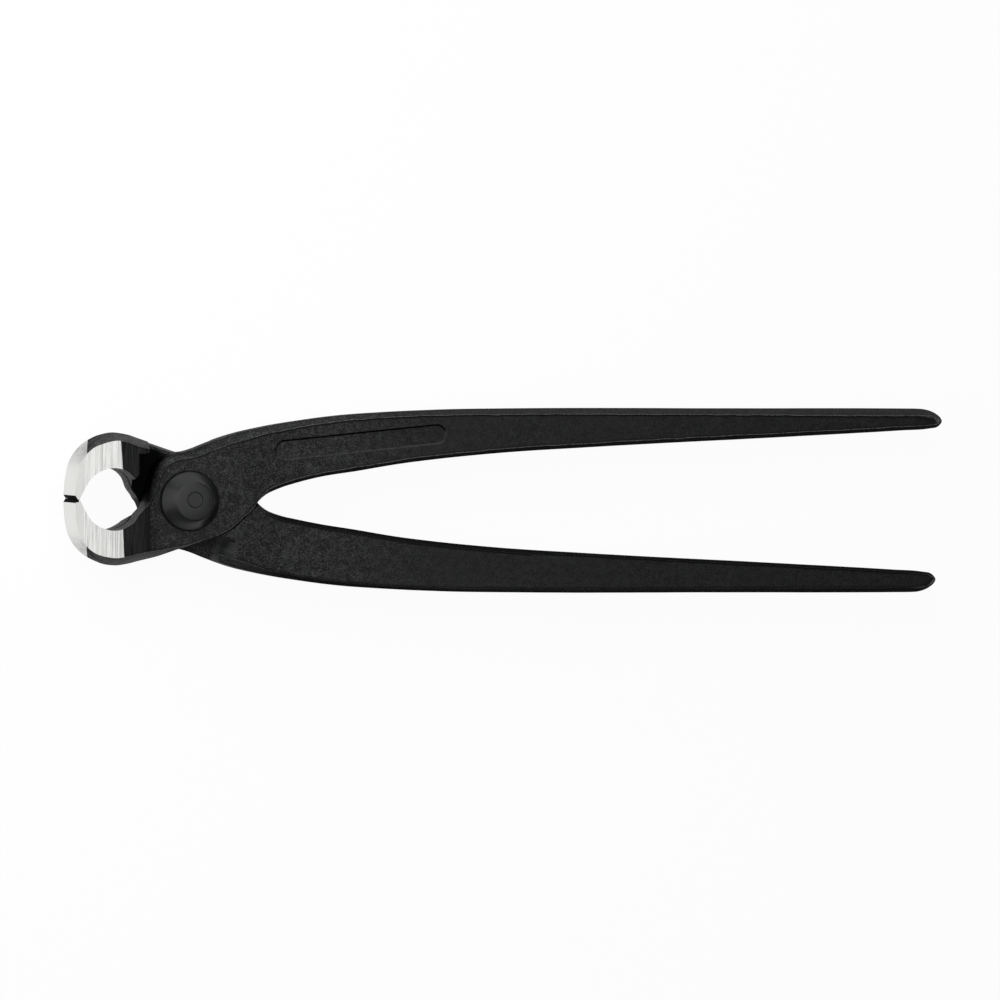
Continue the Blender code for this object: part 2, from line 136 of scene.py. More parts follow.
# %% Sizes of a lever
low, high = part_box("front_lever")
INSIDE = 0.03 * MM
JAW_REACH = PIVOT.x - low.x - INSIDE
FRONT_HANDLE_REACH = high.x - PIVOT.x - INSIDE
REAR_HANDLE_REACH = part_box("rear_lever")[1].x - PIVOT.x - INSIDE
HALF_SPREAD = 22.72 * MM
HANDLE_TIP_WIDTH = 4.87 * MM
BEND_LENGTH = 85.0 * MM
CROTCH_REACH = 16.95 * MM
HEAD_HALF_HEIGHT = 16.33 * MM
HOLLOW_HALF_HEIGHT = 7.58 * MM
MEETING_OFFSET = 0.37 * MM
EDGE_GAP = 0.03 * MM
EDGE_LAND = 0.55 * MM
GROOVE_DEPTH = 0.6 * MM
GROOVE_HALF_HEIGHT = 0.9 * MM
PLATE_RADIUS = 12.2 * MM
JAW_TIP_HALF = 7.5 * MM
JAW_FLAT_HALF = 8.5 * MM
PLATE_HALF = 7.8 * MM
HANDLE_ROOT_HALF = 5.0 * MM
HANDLE_TIP_HALF = 3.2 * MM
INNER_EDGE_END = HALF_SPREAD - HANDLE_TIP_WIDTH
print("jaw reach", round(JAW_REACH / MM, 2), "mm, handle reach",
      round(FRONT_HANDLE_REACH / MM, 2), "mm")

# %% [markdown]
# ## Outline of a forging
# A drop forging takes its outline from the dies: one smooth closed curve, with no
# straight stretch until the handle. The curve is drawn through a few knots, written as
# shares of the sizes above, and each knot also says how wide the rounded rim is there.
# A curve through knots keeps the outline smooth at any fineness, which a traced list of
# points would not.

# %% Knots of the outline
RIM_OUTER = 2.0 * MM
RIM_INNER = 1.0 * MM
RIM_NOSE = 1.7 * MM
RIM_LEAST = 0.12 * MM
# The rear jaw's rim is wider by this share, from the first share of its reach to the last.
REAR_JAW_RIM = 0.4
REAR_JAW_RIM_SPAN = (0.65, 0.9)
HEAD_FACET = 0.7 * MM
HOLLOW_FACET = 0.6 * MM
TIP_FACET = 0.3 * MM
BEND_FACET = 1.4 * MM
HANDLE_FACET = 1.6 * MM

# Back of the jaw: shares of JAW_REACH and HEAD_HALF_HEIGHT, then of the rim.
MOUTH_RIM_SHARE = 0.04
JAW_BACK_SHARES = (
    (0.997, 0.310, 0.14), (0.961, 0.588, 0.22), (0.916, 0.725, 0.30), (0.849, 0.843, 0.42),
    (0.782, 0.922, 0.66), (0.722, 0.970, 0.84), (0.627, 1.000, 0.96), (0.540, 0.983, 1.00),
    (0.413, 0.921, 1.00), (0.253, 0.840, 0.80),
)
# Underside of the lap plate: shares of PLATE_RADIUS.
PLATE_UNDERSIDE_SHARES = (
    (-0.217, -0.998, 0.42), (0.037, -0.914, 0.24), (0.455, -0.770, 0.16),
    (0.668, -0.689, 0.14), (1.004, -0.484, 0.13), (1.168, -0.328, 0.13),
)
# Inner edge of the handle: shares of its length and of INNER_EDGE_END.
INNER_EDGE_SHARES = (
    (0.0000, -0.067, 0.3), (0.0069, 0.011, 0.5), (0.0175, 0.098, 0.8), (0.0367, 0.180, 1.0),
    (0.0661, 0.258, 1.0), (0.0951, 0.320, 1.0), (0.1529, 0.409, 1.0), (0.2113, 0.504, 1.0),
    (0.2692, 0.575, 1.0), (0.3562, 0.656, 1.0), (0.5017, 0.745, 1.0), (0.7915, 0.891, 1.0),
    (0.9400, 0.973, 0.95),
)
# Tip of the handle: shares of HANDLE_TIP_WIDTH, back from the end and out.
HANDLE_TIP_SHARES = (
    (0.626, 0.000, 0.90), (0.257, 0.072, 0.80), (0.082, 0.216, 0.68), (0.000, 0.380, 0.62),
    (0.072, 0.544, 0.68), (0.277, 0.729, 0.90), (0.585, 0.893, 1.30), (0.893, 0.975, 1.60),
    (1.222, 1.000, 1.70), (1.700, 1.004, 1.75),
)
# Outer edge of the handle: its straight stretch, then its bend in shares of BEND_LENGTH.
STRAIGHT_EDGE_SHARES = (0.48, 1.003, 0.80)
OUTER_EDGE_SHARES = (
    (1.000, 1.000, 0.76), (0.763, 0.971, 0.72), (0.585, 0.906, 0.68), (0.466, 0.840, 0.70),
    (0.347, 0.722, 0.78), (0.228, 0.564, 0.90), (0.127, 0.371, 1.0), (0.056, 0.164, 0.95),
    (0.020, 0.049, 0.90),
)
# Nose of the lap plate: shares of PLATE_RADIUS.
PLATE_NOSE_SHARES = (
    (-0.045, 0.990, 1.0), (-0.255, 0.963, 1.0), (-0.512, 0.832, 1.0), (-0.611, 0.730, 1.0),
    (-0.709, 0.508, 0.9), (-0.775, 0.303, 0.8), (-0.832, 0.172, 0.6), (-0.885, 0.008, 0.4),
)
# The hollow: shares of the reach from PLATE_RADIUS to JAW_REACH, and of its height.
HOLLOW_SHARES = (
    (-0.056, 0.165), (0.032, 0.409), (0.106, 0.712), (0.187, 0.858), (0.301, 0.970),
    (0.382, 1.000), (0.512, 0.963), (0.603, 0.897), (0.683, 0.796), (0.769, 0.607),
    (0.837, 0.363), (0.899, 0.119),
)
JAW_LINE_FADE_SHARES = (0.74, 1.11)
# The crotch lies off the middle the other way, and fades out along the handles.
CROTCH_SHIFT = 1.2
CROTCH_FADE_REACH = 34.0 * MM
# The corner between hollow and lap plate lies off the middle like the crotch.
CORNER_SHIFT = 2.0
CORNER_SHIFT_FADE = (-12.0 * MM, -15.0 * MM)
# The handles grow a little wider towards the end than their knots say.
TIP_EXTRA = {1: 0.08 * MM, -1: 0.24 * MM}
FAR_RIM_SHARE = 0.62
print("knots of the jaw's back:", len(JAW_BACK_SHARES))

# %% Knots of one lever
def jaw_line(x, offset):
    """Height of the line on which the jaws meet, which lies a little off the rivet."""
    fade_start, fade_end = (-PLATE_RADIUS * share for share in JAW_LINE_FADE_SHARES)
    return offset * min(1.0, max(0.0, (fade_start - x) / (fade_start - fade_end)))


def lever_knots(handle_reach, offset):
    """Knots of the lever's outline: x, y, rim width and facet length of each."""
    inner_end = INNER_EDGE_END - TIP_EXTRA[1 if offset > 0 else -1]
    tip_width = HALF_SPREAD - inner_end
    mouth_y = jaw_line(-JAW_REACH, offset) - GROOVE_HALF_HEIGHT
    knots = [(-JAW_REACH, mouth_y, RIM_OUTER * MOUTH_RIM_SHARE, HEAD_FACET)]
    for along, rise, rim in JAW_BACK_SHARES:
        x = -JAW_REACH * along
        y = jaw_line(x, offset) - HEAD_HALF_HEIGHT * rise
        wider = REAR_JAW_RIM * ease(*REAR_JAW_RIM_SPAN, along) if offset < 0 else 0.0
        knots.append((x, y, RIM_OUTER * rim * (1 + wider), HEAD_FACET))
    for along, rise, rim in PLATE_UNDERSIDE_SHARES:
        knots.append((PLATE_RADIUS * along, PLATE_RADIUS * rise, RIM_OUTER * rim, HEAD_FACET))
    for along, rise, rim in INNER_EDGE_SHARES:
        x = between(CROTCH_REACH, handle_reach, along)
        facet = BEND_FACET if x < BEND_LENGTH else HANDLE_FACET
        shift = CROTCH_SHIFT * offset * (1 - ease(CROTCH_REACH, CROTCH_FADE_REACH, x))
        knots.append((x, inner_end * rise - shift, RIM_INNER * rim, facet))
    for inward, out, rim in HANDLE_TIP_SHARES:
        x = handle_reach - tip_width * inward
        y = inner_end + tip_width * out
        knots.append((x, y, RIM_INNER * rim, TIP_FACET if inward < 1 else HANDLE_FACET))
    along, rise, rim = STRAIGHT_EDGE_SHARES
    straight_y = between(PLATE_RADIUS, HALF_SPREAD, rise)
    x = between(BEND_LENGTH, handle_reach, along)
    knots.append((x, straight_y, RIM_OUTER * rim, BEND_FACET))
    for along, rise, rim in OUTER_EDGE_SHARES:
        y = between(PLATE_RADIUS, HALF_SPREAD, rise)
        knots.append((BEND_LENGTH * along, y, RIM_OUTER * rim, BEND_FACET))
    for along, rise, rim in PLATE_NOSE_SHARES:
        corner = CORNER_SHIFT * offset * (1 - ease(0.1, 0.6, rise))
        y = PLATE_RADIUS * rise - corner
        knots.append((PLATE_RADIUS * along, y, RIM_NOSE * rim, HEAD_FACET))
    for along, rise in HOLLOW_SHARES:
        x = -between(PLATE_RADIUS, JAW_REACH, along)
        corner = CORNER_SHIFT * offset * ease(CORNER_SHIFT_FADE[1], CORNER_SHIFT_FADE[0], x)
        y = jaw_line(x, offset) - HOLLOW_HALF_HEIGHT * rise - corner
        knots.append((x, y, 0.0, HOLLOW_FACET))
    for edge_x in (GROOVE_DEPTH + EDGE_LAND - JAW_REACH, GROOVE_DEPTH - JAW_REACH):
        knots.append((edge_x, jaw_line(edge_x, offset) - EDGE_GAP / 2, 0.0, HOLLOW_FACET))
    return knots


print("knots in a lever's outline:", len(lever_knots(FRONT_HANDLE_REACH, MEETING_OFFSET)))

# %% A smooth curve through the knots
def curve_tangent(before, here, after):
    """Direction of a smooth curve at one knot, led by the nearer of its neighbours."""
    arrival = here - before
    departure = after - here
    blend = arrival.normalized() * departure.length + departure.normalized() * arrival.length
    return blend.normalized()


def smooth_outline(knots):
    """Points x, y, rim on a smooth open curve through the knots."""
    spots = [Vector(knot[:3]) for knot in knots]
    tangents = [(spots[1] - spots[0]).normalized()]
    tangents.extend(curve_tangent(*spots[i - 1:i + 2]) for i in range(1, len(spots) - 1))
    tangents.append((spots[-1] - spots[-2]).normalized())
    outline = [spots[0]]
    for i in range(len(spots) - 1):
        length = (spots[i + 1] - spots[i]).length
        reach = length / 3
        run = interpolate_bezier(
            spots[i], spots[i] + tangents[i] * reach,
            spots[i + 1] - tangents[i + 1] * reach, spots[i + 1],
            max(2, math.ceil(length / knots[i][3]) + 1),
        )
        outline.extend(run[1:])
    return outline


print("curve ready for", len(lever_knots(REAR_HANDLE_REACH, -MEETING_OFFSET)), "knots")

# %% [markdown]
# ## Rings inside the outline
# Rim and side face of a forging follow its outline at a distance. An offset tool could
# make them, but it drops points in tight corners. Here every point of the outline moves
# inwards by its own rim width, so all rings have the same count and can be skinned, and
# the rings close up where a corner leaves them no room.

# %% Move the outline inwards
# Lengths over which the rim narrows to the mouth, and the face rings in tight corners.
MOUTH_RIM_LENGTH = 3.0 * MM
JAW_ROOM_SPAN = (1.0 * MM, 7.0 * MM)
TIP_ROOM_SPAN = (10.0 * MM, 4.0 * MM)
LEAST_ROOM = 0.04
# The low bead along the crease between rim and side face, and how far it strays.
BEAD_HEIGHT = 0.14 * MM
BEAD_START = -8.0 * MM
BEAD_NOSE_START = -12.0 * MM
BEAD_NOSE_LEVEL = -5.0 * MM
CREASE_WANDER = 0.16 * MM
CREASE_WANDER_LENGTH = 3.4 * MM


def crease_wander(spot):
    """How far the crease strays from its even course near a point of the outline."""
    if spot.x < BEAD_START:
        return 0.0
    place = Vector((spot.x, spot.y, 0)) / CREASE_WANDER_LENGTH
    return CREASE_WANDER * (noise.noise(place) + 0.6 * noise.noise(place * 2.7))


def ring_room(x, end):
    """Share of their width that the rings on the side face keep in the tight corners."""
    jaw = ease(*(span - JAW_REACH for span in JAW_ROOM_SPAN), x)
    tip = 1 - ease(*(end - span for span in TIP_ROOM_SPAN), x)
    return max(LEAST_ROOM, jaw * tip)


def inset_outline(outline, rim_share, extra, wanders=False):
    """The outline moved inwards by a share of its rim and by a further length."""
    end = max(spot.x for spot in outline)
    moved = []
    for i, here in enumerate(outline):
        before = (here - outline[i - 1]).to_2d().normalized()
        after = (outline[(i + 1) % len(outline)] - here).to_2d().normalized()
        inward = Vector((-before.y - after.y, before.x + after.x)).normalized()
        room = ring_room(here.x, end)
        open_share = ease(-JAW_REACH, -JAW_REACH + MOUTH_RIM_LENGTH, here.x)
        least = RIM_LEAST * between(0.1, 1.0, open_share)
        depth = max(least, here.z) * rim_share + extra * room
        if wanders:
            depth += crease_wander(here) * room
        moved.append(here.to_2d() + inward * depth)
    return moved


print("outline points:", len(smooth_outline(lever_knots(FRONT_HANDLE_REACH, MEETING_OFFSET))))

# %% [markdown]
# ## Section and side view of a forging
# From the parting line the wall of a forging leans in a few degrees, so that it leaves
# the die, and then rolls over into the side face. Where they meet the dies leave a low
# bead, whose course wanders a little, and which catches the light on one side. Seen
# from the side the lever is thickest at the jaw, a little thinner at the lap plate and
# slim at the handle's end.

# %% Section of the rim
WALL_SHARES = ((0.00, 0.00), (0.20, 0.01), (0.40, 0.02), (0.56, 0.03), (0.62, 0.045))
ROLL_START_SHARES = (0.66, 0.09)
HIDDEN_WALL_SHARES = ((0.00, 0.00), (0.20, 0.06), (0.40, 0.12), (0.56, 0.17), (0.62, 0.19))
HIDDEN_ROLL_START_SHARES = (0.66, 0.22)
ROLL_CONTROL_SHARES = (0.87, 0.46)
ROLL_ROWS = 6
FACE_RINGS = (0.26 * MM, 0.75 * MM)


def rim_section(hidden):
    """Rows of height share, rim share and extra inset, from the parting line up."""
    walls = HIDDEN_WALL_SHARES if hidden else WALL_SHARES
    rows = [(rise, rim, 0.0) for rise, rim in walls]
    start = Vector(HIDDEN_ROLL_START_SHARES if hidden else ROLL_START_SHARES)
    control = Vector(ROLL_CONTROL_SHARES)
    crease = Vector((1.0, 1.0))
    for step in range(ROLL_ROWS + 1):
        share = step / ROLL_ROWS
        spot = start.lerp(control, share).lerp(control.lerp(crease, share), share)
        rows.append((spot.x, spot.y, 0.0))
    rows.extend((1.0, 1.0, extra) for extra in FACE_RINGS)
    return rows


print("rows in the section:", len(rim_section(False)))

# %% Side view
JAW_FLAT_START_SHARE = 0.605
JAW_FLAT_END_SHARE = 0.386
PLATE_FLAT_START_SHARE = 0.23
ROOT_START_SHARE = 0.805
ROOT_END_SHARE = 2.15
PLATE_SLOPE_SHARES = ((0.0, 0.00), (0.3, 0.34), (0.6, 0.72), (1.0, 1.00))
ROOT_SLOPE_SHARES = (
    (0.00, 0.00), (0.12, 0.09), (0.27, 0.31), (0.45, 0.58), (0.68, 0.83), (1.00, 1.00),
)
HANDLE_SLOPE_SHARES = ((0.00, 0.00), (0.12, 0.26), (0.30, 0.46), (0.60, 0.70), (1.00, 1.00))


def side_profile(handle_reach):
    """Stations x, half thickness along the lever, the same on both sides."""
    flat_start = -JAW_REACH * JAW_FLAT_START_SHARE
    flat_end = -JAW_REACH * JAW_FLAT_END_SHARE
    plate_start = -JAW_REACH * PLATE_FLAT_START_SHARE
    root_start = PLATE_RADIUS * ROOT_START_SHARE
    root_end = CROTCH_REACH * ROOT_END_SHARE
    stations = [(-JAW_REACH, JAW_TIP_HALF), (flat_start, JAW_FLAT_HALF)]
    for along, drop in PLATE_SLOPE_SHARES:
        x = between(flat_end, plate_start, along)
        stations.append((x, between(JAW_FLAT_HALF, PLATE_HALF, drop)))
    for along, drop in ROOT_SLOPE_SHARES:
        x = between(root_start, root_end, along)
        stations.append((x, between(PLATE_HALF, HANDLE_ROOT_HALF, drop)))
    for along, drop in HANDLE_SLOPE_SHARES[1:]:
        x = between(root_end, handle_reach, along)
        stations.append((x, between(HANDLE_ROOT_HALF, HANDLE_TIP_HALF, drop)))
    return stations


def height_at(stations, x):
    """Half thickness at x, on straight runs between the stations."""
    if x <= stations[0][0]:
        return stations[0][1]
    for (x0, h0), (x1, h1) in zip(stations, stations[1:]):
        if x <= x1:
            return between(h0, h1, (x - x0) / (x1 - x0))
    return stations[-1][1]


def soft_height(stations, x):
    """Half thickness at x with the corners between the stations eased."""
    window = (0.3 if x < 0 else 2.4) * MM
    samples = [height_at(stations, x + window * step / 4) for step in range(-4, 5)]
    return sum(samples) / len(samples)


print("stations of the side view:", len(side_profile(FRONT_HANDLE_REACH)))

# %% [markdown]
# ## The forged body
# The outline is stacked into rings, one for each row of the section, and skinned. The two
# side faces are closed and then cut into a fine grid, so that they can carry the side
# view and the slight waves that hammered steel keeps. Waves are real height here and not
# a trick of shading, since they bend the long reflections along the handles.

# %% Skin and grid
HEAD_GRID = 0.9 * MM
HANDLE_GRID = 2.4 * MM
CROSS_GRID = 1.8 * MM
GROUND_WALL_REACH = 23.85 * MM
GROUND_WALL_SLANT = 0.22
WAVE_DEPTH = 0.045 * MM
WAVE_LENGTH = 11.0 * MM
# The waves grow behind the joint and fade before the handle's end.
WAVE_START = (6.0 * MM, 20.0 * MM)
WAVE_END = (5.0 * MM, 1.0 * MM)
FAR_RIM_START = (8.0 * MM, 25.0 * MM)
# The straight border of the ground side face: x and y of two points on it, on the plate's
# side of the lever and on the other side.
NEAR_BORDER = ((-16.6 * MM, -7.1 * MM), (-16.3 * MM, -13.9 * MM))
FAR_BORDER = ((-16.7 * MM, -7.9 * MM), (-17.2 * MM, -14.4 * MM))


def skin_rings(bm, rings):
    """Join a stack of rings of equal count with faces and close both ends."""
    for lower, upper in zip(rings, rings[1:]):
        for i in range(len(lower)):
            j = (i + 1) % len(lower)
            bm.faces.new((lower[i], lower[j], upper[j], upper[i]))
    return [bm.faces.new(list(reversed(rings[0]))), bm.faces.new(rings[-1])]


def slice_mesh(bm, geometry, place, normal):
    """Cut the given faces along a plane and return what they have become."""
    return bmesh.ops.bisect_plane(
        bm, geom=geometry, plane_co=place, plane_no=normal, dist=0.01 * MM)["geom"]


def grid_lines(start, stop, step):
    """Evenly spaced places between two ends."""
    count = max(1, round((stop - start) / step))
    return [between(start, stop, i / count) for i in range(1, count)]


def border_normal(border):
    """Normal, in the side face's plane, of a straight border through two points."""
    run = Vector(border[1]) - Vector(border[0])
    return Vector((-run.y, run.x, 0)).normalized()


def forging_wave(spot):
    """Slow unevenness of a forged face at a point, from -1 to 1."""
    slow = noise.noise(spot / WAVE_LENGTH)
    quick = noise.noise(spot / (WAVE_LENGTH * 0.37) + Vector((7, 3, 5)))
    return slow + quick * 0.45


def far_side_outline(outline):
    """The outline with the narrower rim that the dies leave on the joint's side."""
    changed = []
    for x, y, rim in outline:
        share = ease(*FAR_RIM_START, x) if y > PLATE_RADIUS else 0.0
        changed.append(Vector((x, y, rim * between(1.0, FAR_RIM_SHARE, share))))
    return changed


def all_parts(bm):
    """Every part of a mesh, as the slicing tool wants them."""
    return bm.verts[:] + bm.edges[:] + bm.faces[:]


print("grid in the head:", HEAD_GRID / MM, "mm")

# %% Forged body
def lever_body(name, handle_reach, offset, seen_side):
    """The whole forging: outline, rims, side view and waves, before the lap is cut."""
    outline = smooth_outline(lever_knots(handle_reach, offset))
    stations = side_profile(handle_reach)
    below = rim_section(seen_side > 0)
    stack = [(-rise, rim, extra) for rise, rim, extra in reversed(below[1:])]
    stack += rim_section(seen_side < 0)
    far_outline = far_side_outline(outline)
    bm = bmesh.new()
    rings = []
    for rise, rim, extra in stack:
        loop = inset_outline(far_outline if rise < 0 else outline, rim, extra, abs(rise) > 0.999)
        rings.append([bm.verts.new((*spot, rise * PLATE_HALF)) for spot in loop])
    crease_row = len(FACE_RINGS)
    bead = set(rings[crease_row] + rings[-crease_row - 1])
    for cap in skin_rings(bm, rings):
        cap.material_index = 1
    for border in (NEAR_BORDER, FAR_BORDER):
        slice_mesh(bm, all_parts(bm), (*border[0], 0), border_normal(border))
    slant = GROUND_WALL_SLANT * seen_side
    slice_mesh(bm, all_parts(bm), (-GROUND_WALL_REACH, 0, 0), (1, 0, slant))
    geometry = [face for face in bm.faces if face.material_index == 1]
    geometry += list({edge for cap in geometry for edge in cap.edges})
    lines = grid_lines(-JAW_REACH, CROTCH_REACH, HEAD_GRID)
    lines += grid_lines(CROTCH_REACH, handle_reach, HANDLE_GRID)
    for x in lines:
        geometry = slice_mesh(bm, geometry, (x, 0, 0), (1, 0, 0))
    for y in grid_lines(-HEAD_HALF_HEIGHT, HALF_SPREAD, CROSS_GRID):
        geometry = slice_mesh(bm, geometry, (0, y, 0), (0, 1, 0))
    for face in bm.faces:
        face.material_index = 0
    for vert in bm.verts:
        vert.co.z *= soft_height(stations, vert.co.x) / PLATE_HALF
        if vert in bead:
            start = BEAD_NOSE_START if vert.co.y > BEAD_NOSE_LEVEL else BEAD_START
            lift = BEAD_HEIGHT * ease(start, start + 2 * MM, vert.co.x)
            vert.co.z += math.copysign(lift, vert.co.z)
    bm.normal_update()
    waves = []
    for vert in bm.verts:
        strength = ease(*WAVE_START, vert.co.x)
        strength *= 1 - ease(*(handle_reach - length for length in WAVE_END), vert.co.x)
        strength *= between(0.4, 1.0, abs(vert.normal.z))
        waves.append(vert.normal * forging_wave(vert.co) * WAVE_DEPTH * strength)
    for vert, wave in zip(bm.verts, waves):
        vert.co += wave
    bmesh.ops.recalc_face_normals(bm, faces=bm.faces)
    mesh = bpy.data.meshes.new(name)
    bm.to_mesh(mesh)
    bm.free()
    return mesh


print("waves of", WAVE_DEPTH / MM, "mm on the side faces")

# %% [markdown]
# ## The lap
# Each lever is cut away to half its thickness, so that the other one's plate can lie in
# it. One cutter per lever, as the milling tool would be, leaves a shoulder beside the jaw
# with a small kink, a flat lap face, a wall that follows the edge of the other plate, and
# a curved ramp up to the full thickness where the other jaw passes as the tool opens. Its
# upper rim is a little wider at the jaw, which breaks the sharp edge as a file would.

# %% Cutter of the lap
JOINT_GAP = 0.3 * MM
SHOULDER_REACH = PLATE_RADIUS + 0.35 * MM
SHOULDER_KINK = 6.4 * MM
SHOULDER_SLANTS = {1: 1.2 * MM, -1: 1.65 * MM}
SLANT_AT_JOINT = 0.3 * MM
SHOULDER_TOP_SHARE = 0.94
TOE_LENGTH = 2.6 * MM
TOE_DRAFT = 0.6 * MM
WALL_CLEARANCE = 0.13 * MM
WALL_DRAFT = 0.03 * MM
RAMP_LENGTH = 5.0 * MM
WALL_END_SHARE = 1.07
# Foot of the ramp, out to the edge of the handle: shares of PLATE_RADIUS, both ways.
RAMP_FOOT_SHARES = ((0.66, 0.83), (0.59, 0.985), (0.56, 1.15))
RAMP_STEPS = 14
RAMP_POWER = 3.0
RAMP_BEND_SHARE = 0.9
OVERRUN = 6.0 * MM
EDGE_BREAK = 0.18 * MM


def new_object(name, mesh):
    """Put a mesh into the scene as one named object."""
    item = bpy.data.objects.new(name, mesh)
    bpy.context.scene.collection.objects.link(item)
    return item


def stacked_mesh(name, rings):
    """A closed mesh over a stack of rings of equal count."""
    bm = bmesh.new()
    skin_rings(bm, [[bm.verts.new(spot) for spot in ring] for ring in rings])
    bmesh.ops.recalc_face_normals(bm, faces=bm.faces)
    mesh = bpy.data.meshes.new(name)
    bm.to_mesh(mesh)
    bm.free()
    return mesh


def lap_wall(handle_reach, offset, ramp_share):
    """Handle side of the recess, at a share of the ramp's length."""
    outline = smooth_outline(lever_knots(handle_reach, -offset))
    first, last = PLATE_RADIUS * RAMP_FOOT_SHARES[0][0], CROTCH_REACH * WALL_END_SHARE
    wall = []
    for x, y in reversed(inset_outline(outline, 0.0, -WALL_CLEARANCE)):
        if first < x < last and y < PLATE_RADIUS / 2:
            wall.append((x + WALL_DRAFT * ramp_share, -y))
    for along, rise in RAMP_FOOT_SHARES:
        wall.append((PLATE_RADIUS * along + RAMP_LENGTH * ramp_share, PLATE_RADIUS * rise))
    return wall


def lap_loop(handle_reach, offset, ramp_share, grown, depth):
    """Corners of the lap recess at a depth, with its shoulder moved towards the jaw."""
    slant = between(SLANT_AT_JOINT, SHOULDER_SLANTS[1 if offset > 0 else -1],
                    min(1.0, max(0.0, -depth / JAW_FLAT_HALF)))
    slant_x = -SHOULDER_REACH - slant
    shoulder_x = -SHOULDER_REACH - grown
    toe_x = TOE_LENGTH - SHOULDER_REACH
    top_y = -PLATE_RADIUS * SHOULDER_TOP_SHARE - grown
    outside = HALF_SPREAD + OVERRUN
    wall = lap_wall(handle_reach, offset, ramp_share)
    return (
        (slant_x - grown, slant - SHOULDER_KINK),
        (shoulder_x, -SHOULDER_KINK),
        (shoulder_x, top_y),
        (toe_x - grown, top_y - JOINT_GAP),
        (toe_x + TOE_DRAFT - grown, -outside),
        (wall[0][0], -outside),
        *wall,
        (wall[-1][0], outside),
        (slant_x - grown, outside),
    )


def ramp_section():
    """Shares of the ramp's length and rise: a curve that flattens, and a straight end."""
    section = []
    for step in range(1, RAMP_STEPS + 1):
        along = RAMP_BEND_SHARE * (step / RAMP_STEPS) ** 1.5
        section.append((along, 1 - (1 - along) ** RAMP_POWER))
    (x0, z0), (x1, z1) = section[-2:]
    section.append((x1 + 0.4, z1 + 0.4 * (z1 - z0) / (x1 - x0)))
    return section


def lap_cutter(name, handle_reach, offset):
    """The room for the other lever's plate, with the shoulder's edge broken."""
    foot = PLATE_RADIUS * RAMP_FOOT_SHARES[-1][0]
    top = height_at(side_profile(handle_reach), foot + RAMP_LENGTH)
    levels = [(JOINT_GAP / 2, 0.0, 0.0)]
    for along, rise in ramp_section():
        levels.append((-top * rise, along, 0.0))
    levels.append((EDGE_BREAK - JAW_FLAT_HALF, along, 0.0))
    levels.append((-JAW_FLAT_HALF, along, EDGE_BREAK))
    levels.append((-JAW_FLAT_HALF - OVERRUN, along, EDGE_BREAK))
    rings = []
    for z, along, grown in levels:
        loop = lap_loop(handle_reach, offset, along, grown, z)
        rings.append([(x, y, z) for x, y in loop])
    return new_object(name, stacked_mesh(name, rings))


print("lap wall:", len(lap_wall(FRONT_HANDLE_REACH, MEETING_OFFSET, 0.0)), "points")

# %% [markdown]
# ## Bore, seat and field
# The rivet's bore runs through each lap plate, and its head sits in a shallow round seat
# that is set a little off the bore. The upper handle has one long shallow field with round
# ends and sloping sides. Both could be drawn into the body's grid, but a stack of rings
# that is cut away keeps their edges crisp at any fineness of the grid.

# %% Cutters of the bore and the field
SHANK_RADIUS = 4.5 * MM
SHANK_CLEARANCE = 0.2 * MM
SEAT_RADIUS = 7.45 * MM
SEAT_DEPTH = 0.75 * MM
SEAT_BREAK = 0.05 * MM
SEAT_OFFSET = 0.17 * MM
ROUND_SEGMENTS = 96
FIELD_LENGTH = 42.9 * MM
FIELD_HEIGHT = 4.2 * MM
FIELD_DEPTH = 0.46 * MM
FIELD_DRAFT = 0.42 * MM
FIELD_PLACE = Vector((43.8 * MM, 14.4 * MM))
FIELD_TILT = math.radians(5.8)
FIELD_STEPS = 24


def circle(centre, radius, z):
    """Points of a level circle about a centre x, y."""
    angles = (2 * math.pi * i / ROUND_SEGMENTS for i in range(ROUND_SEGMENTS))
    return [(centre[0] + radius * math.cos(angle), centre[1] + radius * math.sin(angle), z)
            for angle in angles]


def bore_cutter(name):
    """The rivet's bore through a lap plate and the round seat of its head."""
    bore = SHANK_RADIUS + SHANK_CLEARANCE
    seat_floor = PLATE_HALF - SEAT_DEPTH
    wide = SEAT_RADIUS + SEAT_BREAK * 2
    rows = (
        (0.0, bore, -PLATE_HALF - OVERRUN), (0.0, bore, seat_floor),
        (SEAT_OFFSET, SEAT_RADIUS, seat_floor),
        (SEAT_OFFSET, SEAT_RADIUS, PLATE_HALF - SEAT_BREAK),
        (SEAT_OFFSET, wide, PLATE_HALF + SEAT_BREAK), (SEAT_OFFSET, wide, PLATE_HALF + OVERRUN),
    )
    rings = [circle((out, 0.0), radius, z) for out, radius, z in rows]
    return new_object(name, stacked_mesh(name, rings))


def field_loop(grown):
    """Round-ended outline of the field, in the front handle's frame."""
    radius = FIELD_HEIGHT / 2 + grown
    straight = FIELD_LENGTH / 2 - FIELD_HEIGHT / 2
    turn = Matrix.Rotation(FIELD_TILT, 2)
    loop = []
    for side in (1, -1):
        for step in range(FIELD_STEPS + 1):
            angle = math.pi * (step / FIELD_STEPS - 0.5)
            along = (straight + radius * math.cos(angle)) * side
            spot = Vector((along, radius * math.sin(angle) * side))
            loop.append(turn @ spot + FIELD_PLACE)
        for step in range(1, FIELD_STEPS):
            along = between(straight, -straight, step / FIELD_STEPS) * side
            loop.append(turn @ Vector((along, radius * side)) + FIELD_PLACE)
    return loop


def field_cutter(name, handle_reach):
    """The shallow field with drafted sides, at one depth below the side face."""
    near = side_profile(handle_reach)
    rings = []
    for rise, grown in ((-FIELD_DEPTH, 0.0), (FIELD_DEPTH, FIELD_DRAFT * 2)):
        ring = []
        for spot in field_loop(grown):
            ring.append((*spot, soft_height(near, spot.x) + rise))
        rings.append(ring)
    return new_object(name, stacked_mesh(name, rings))


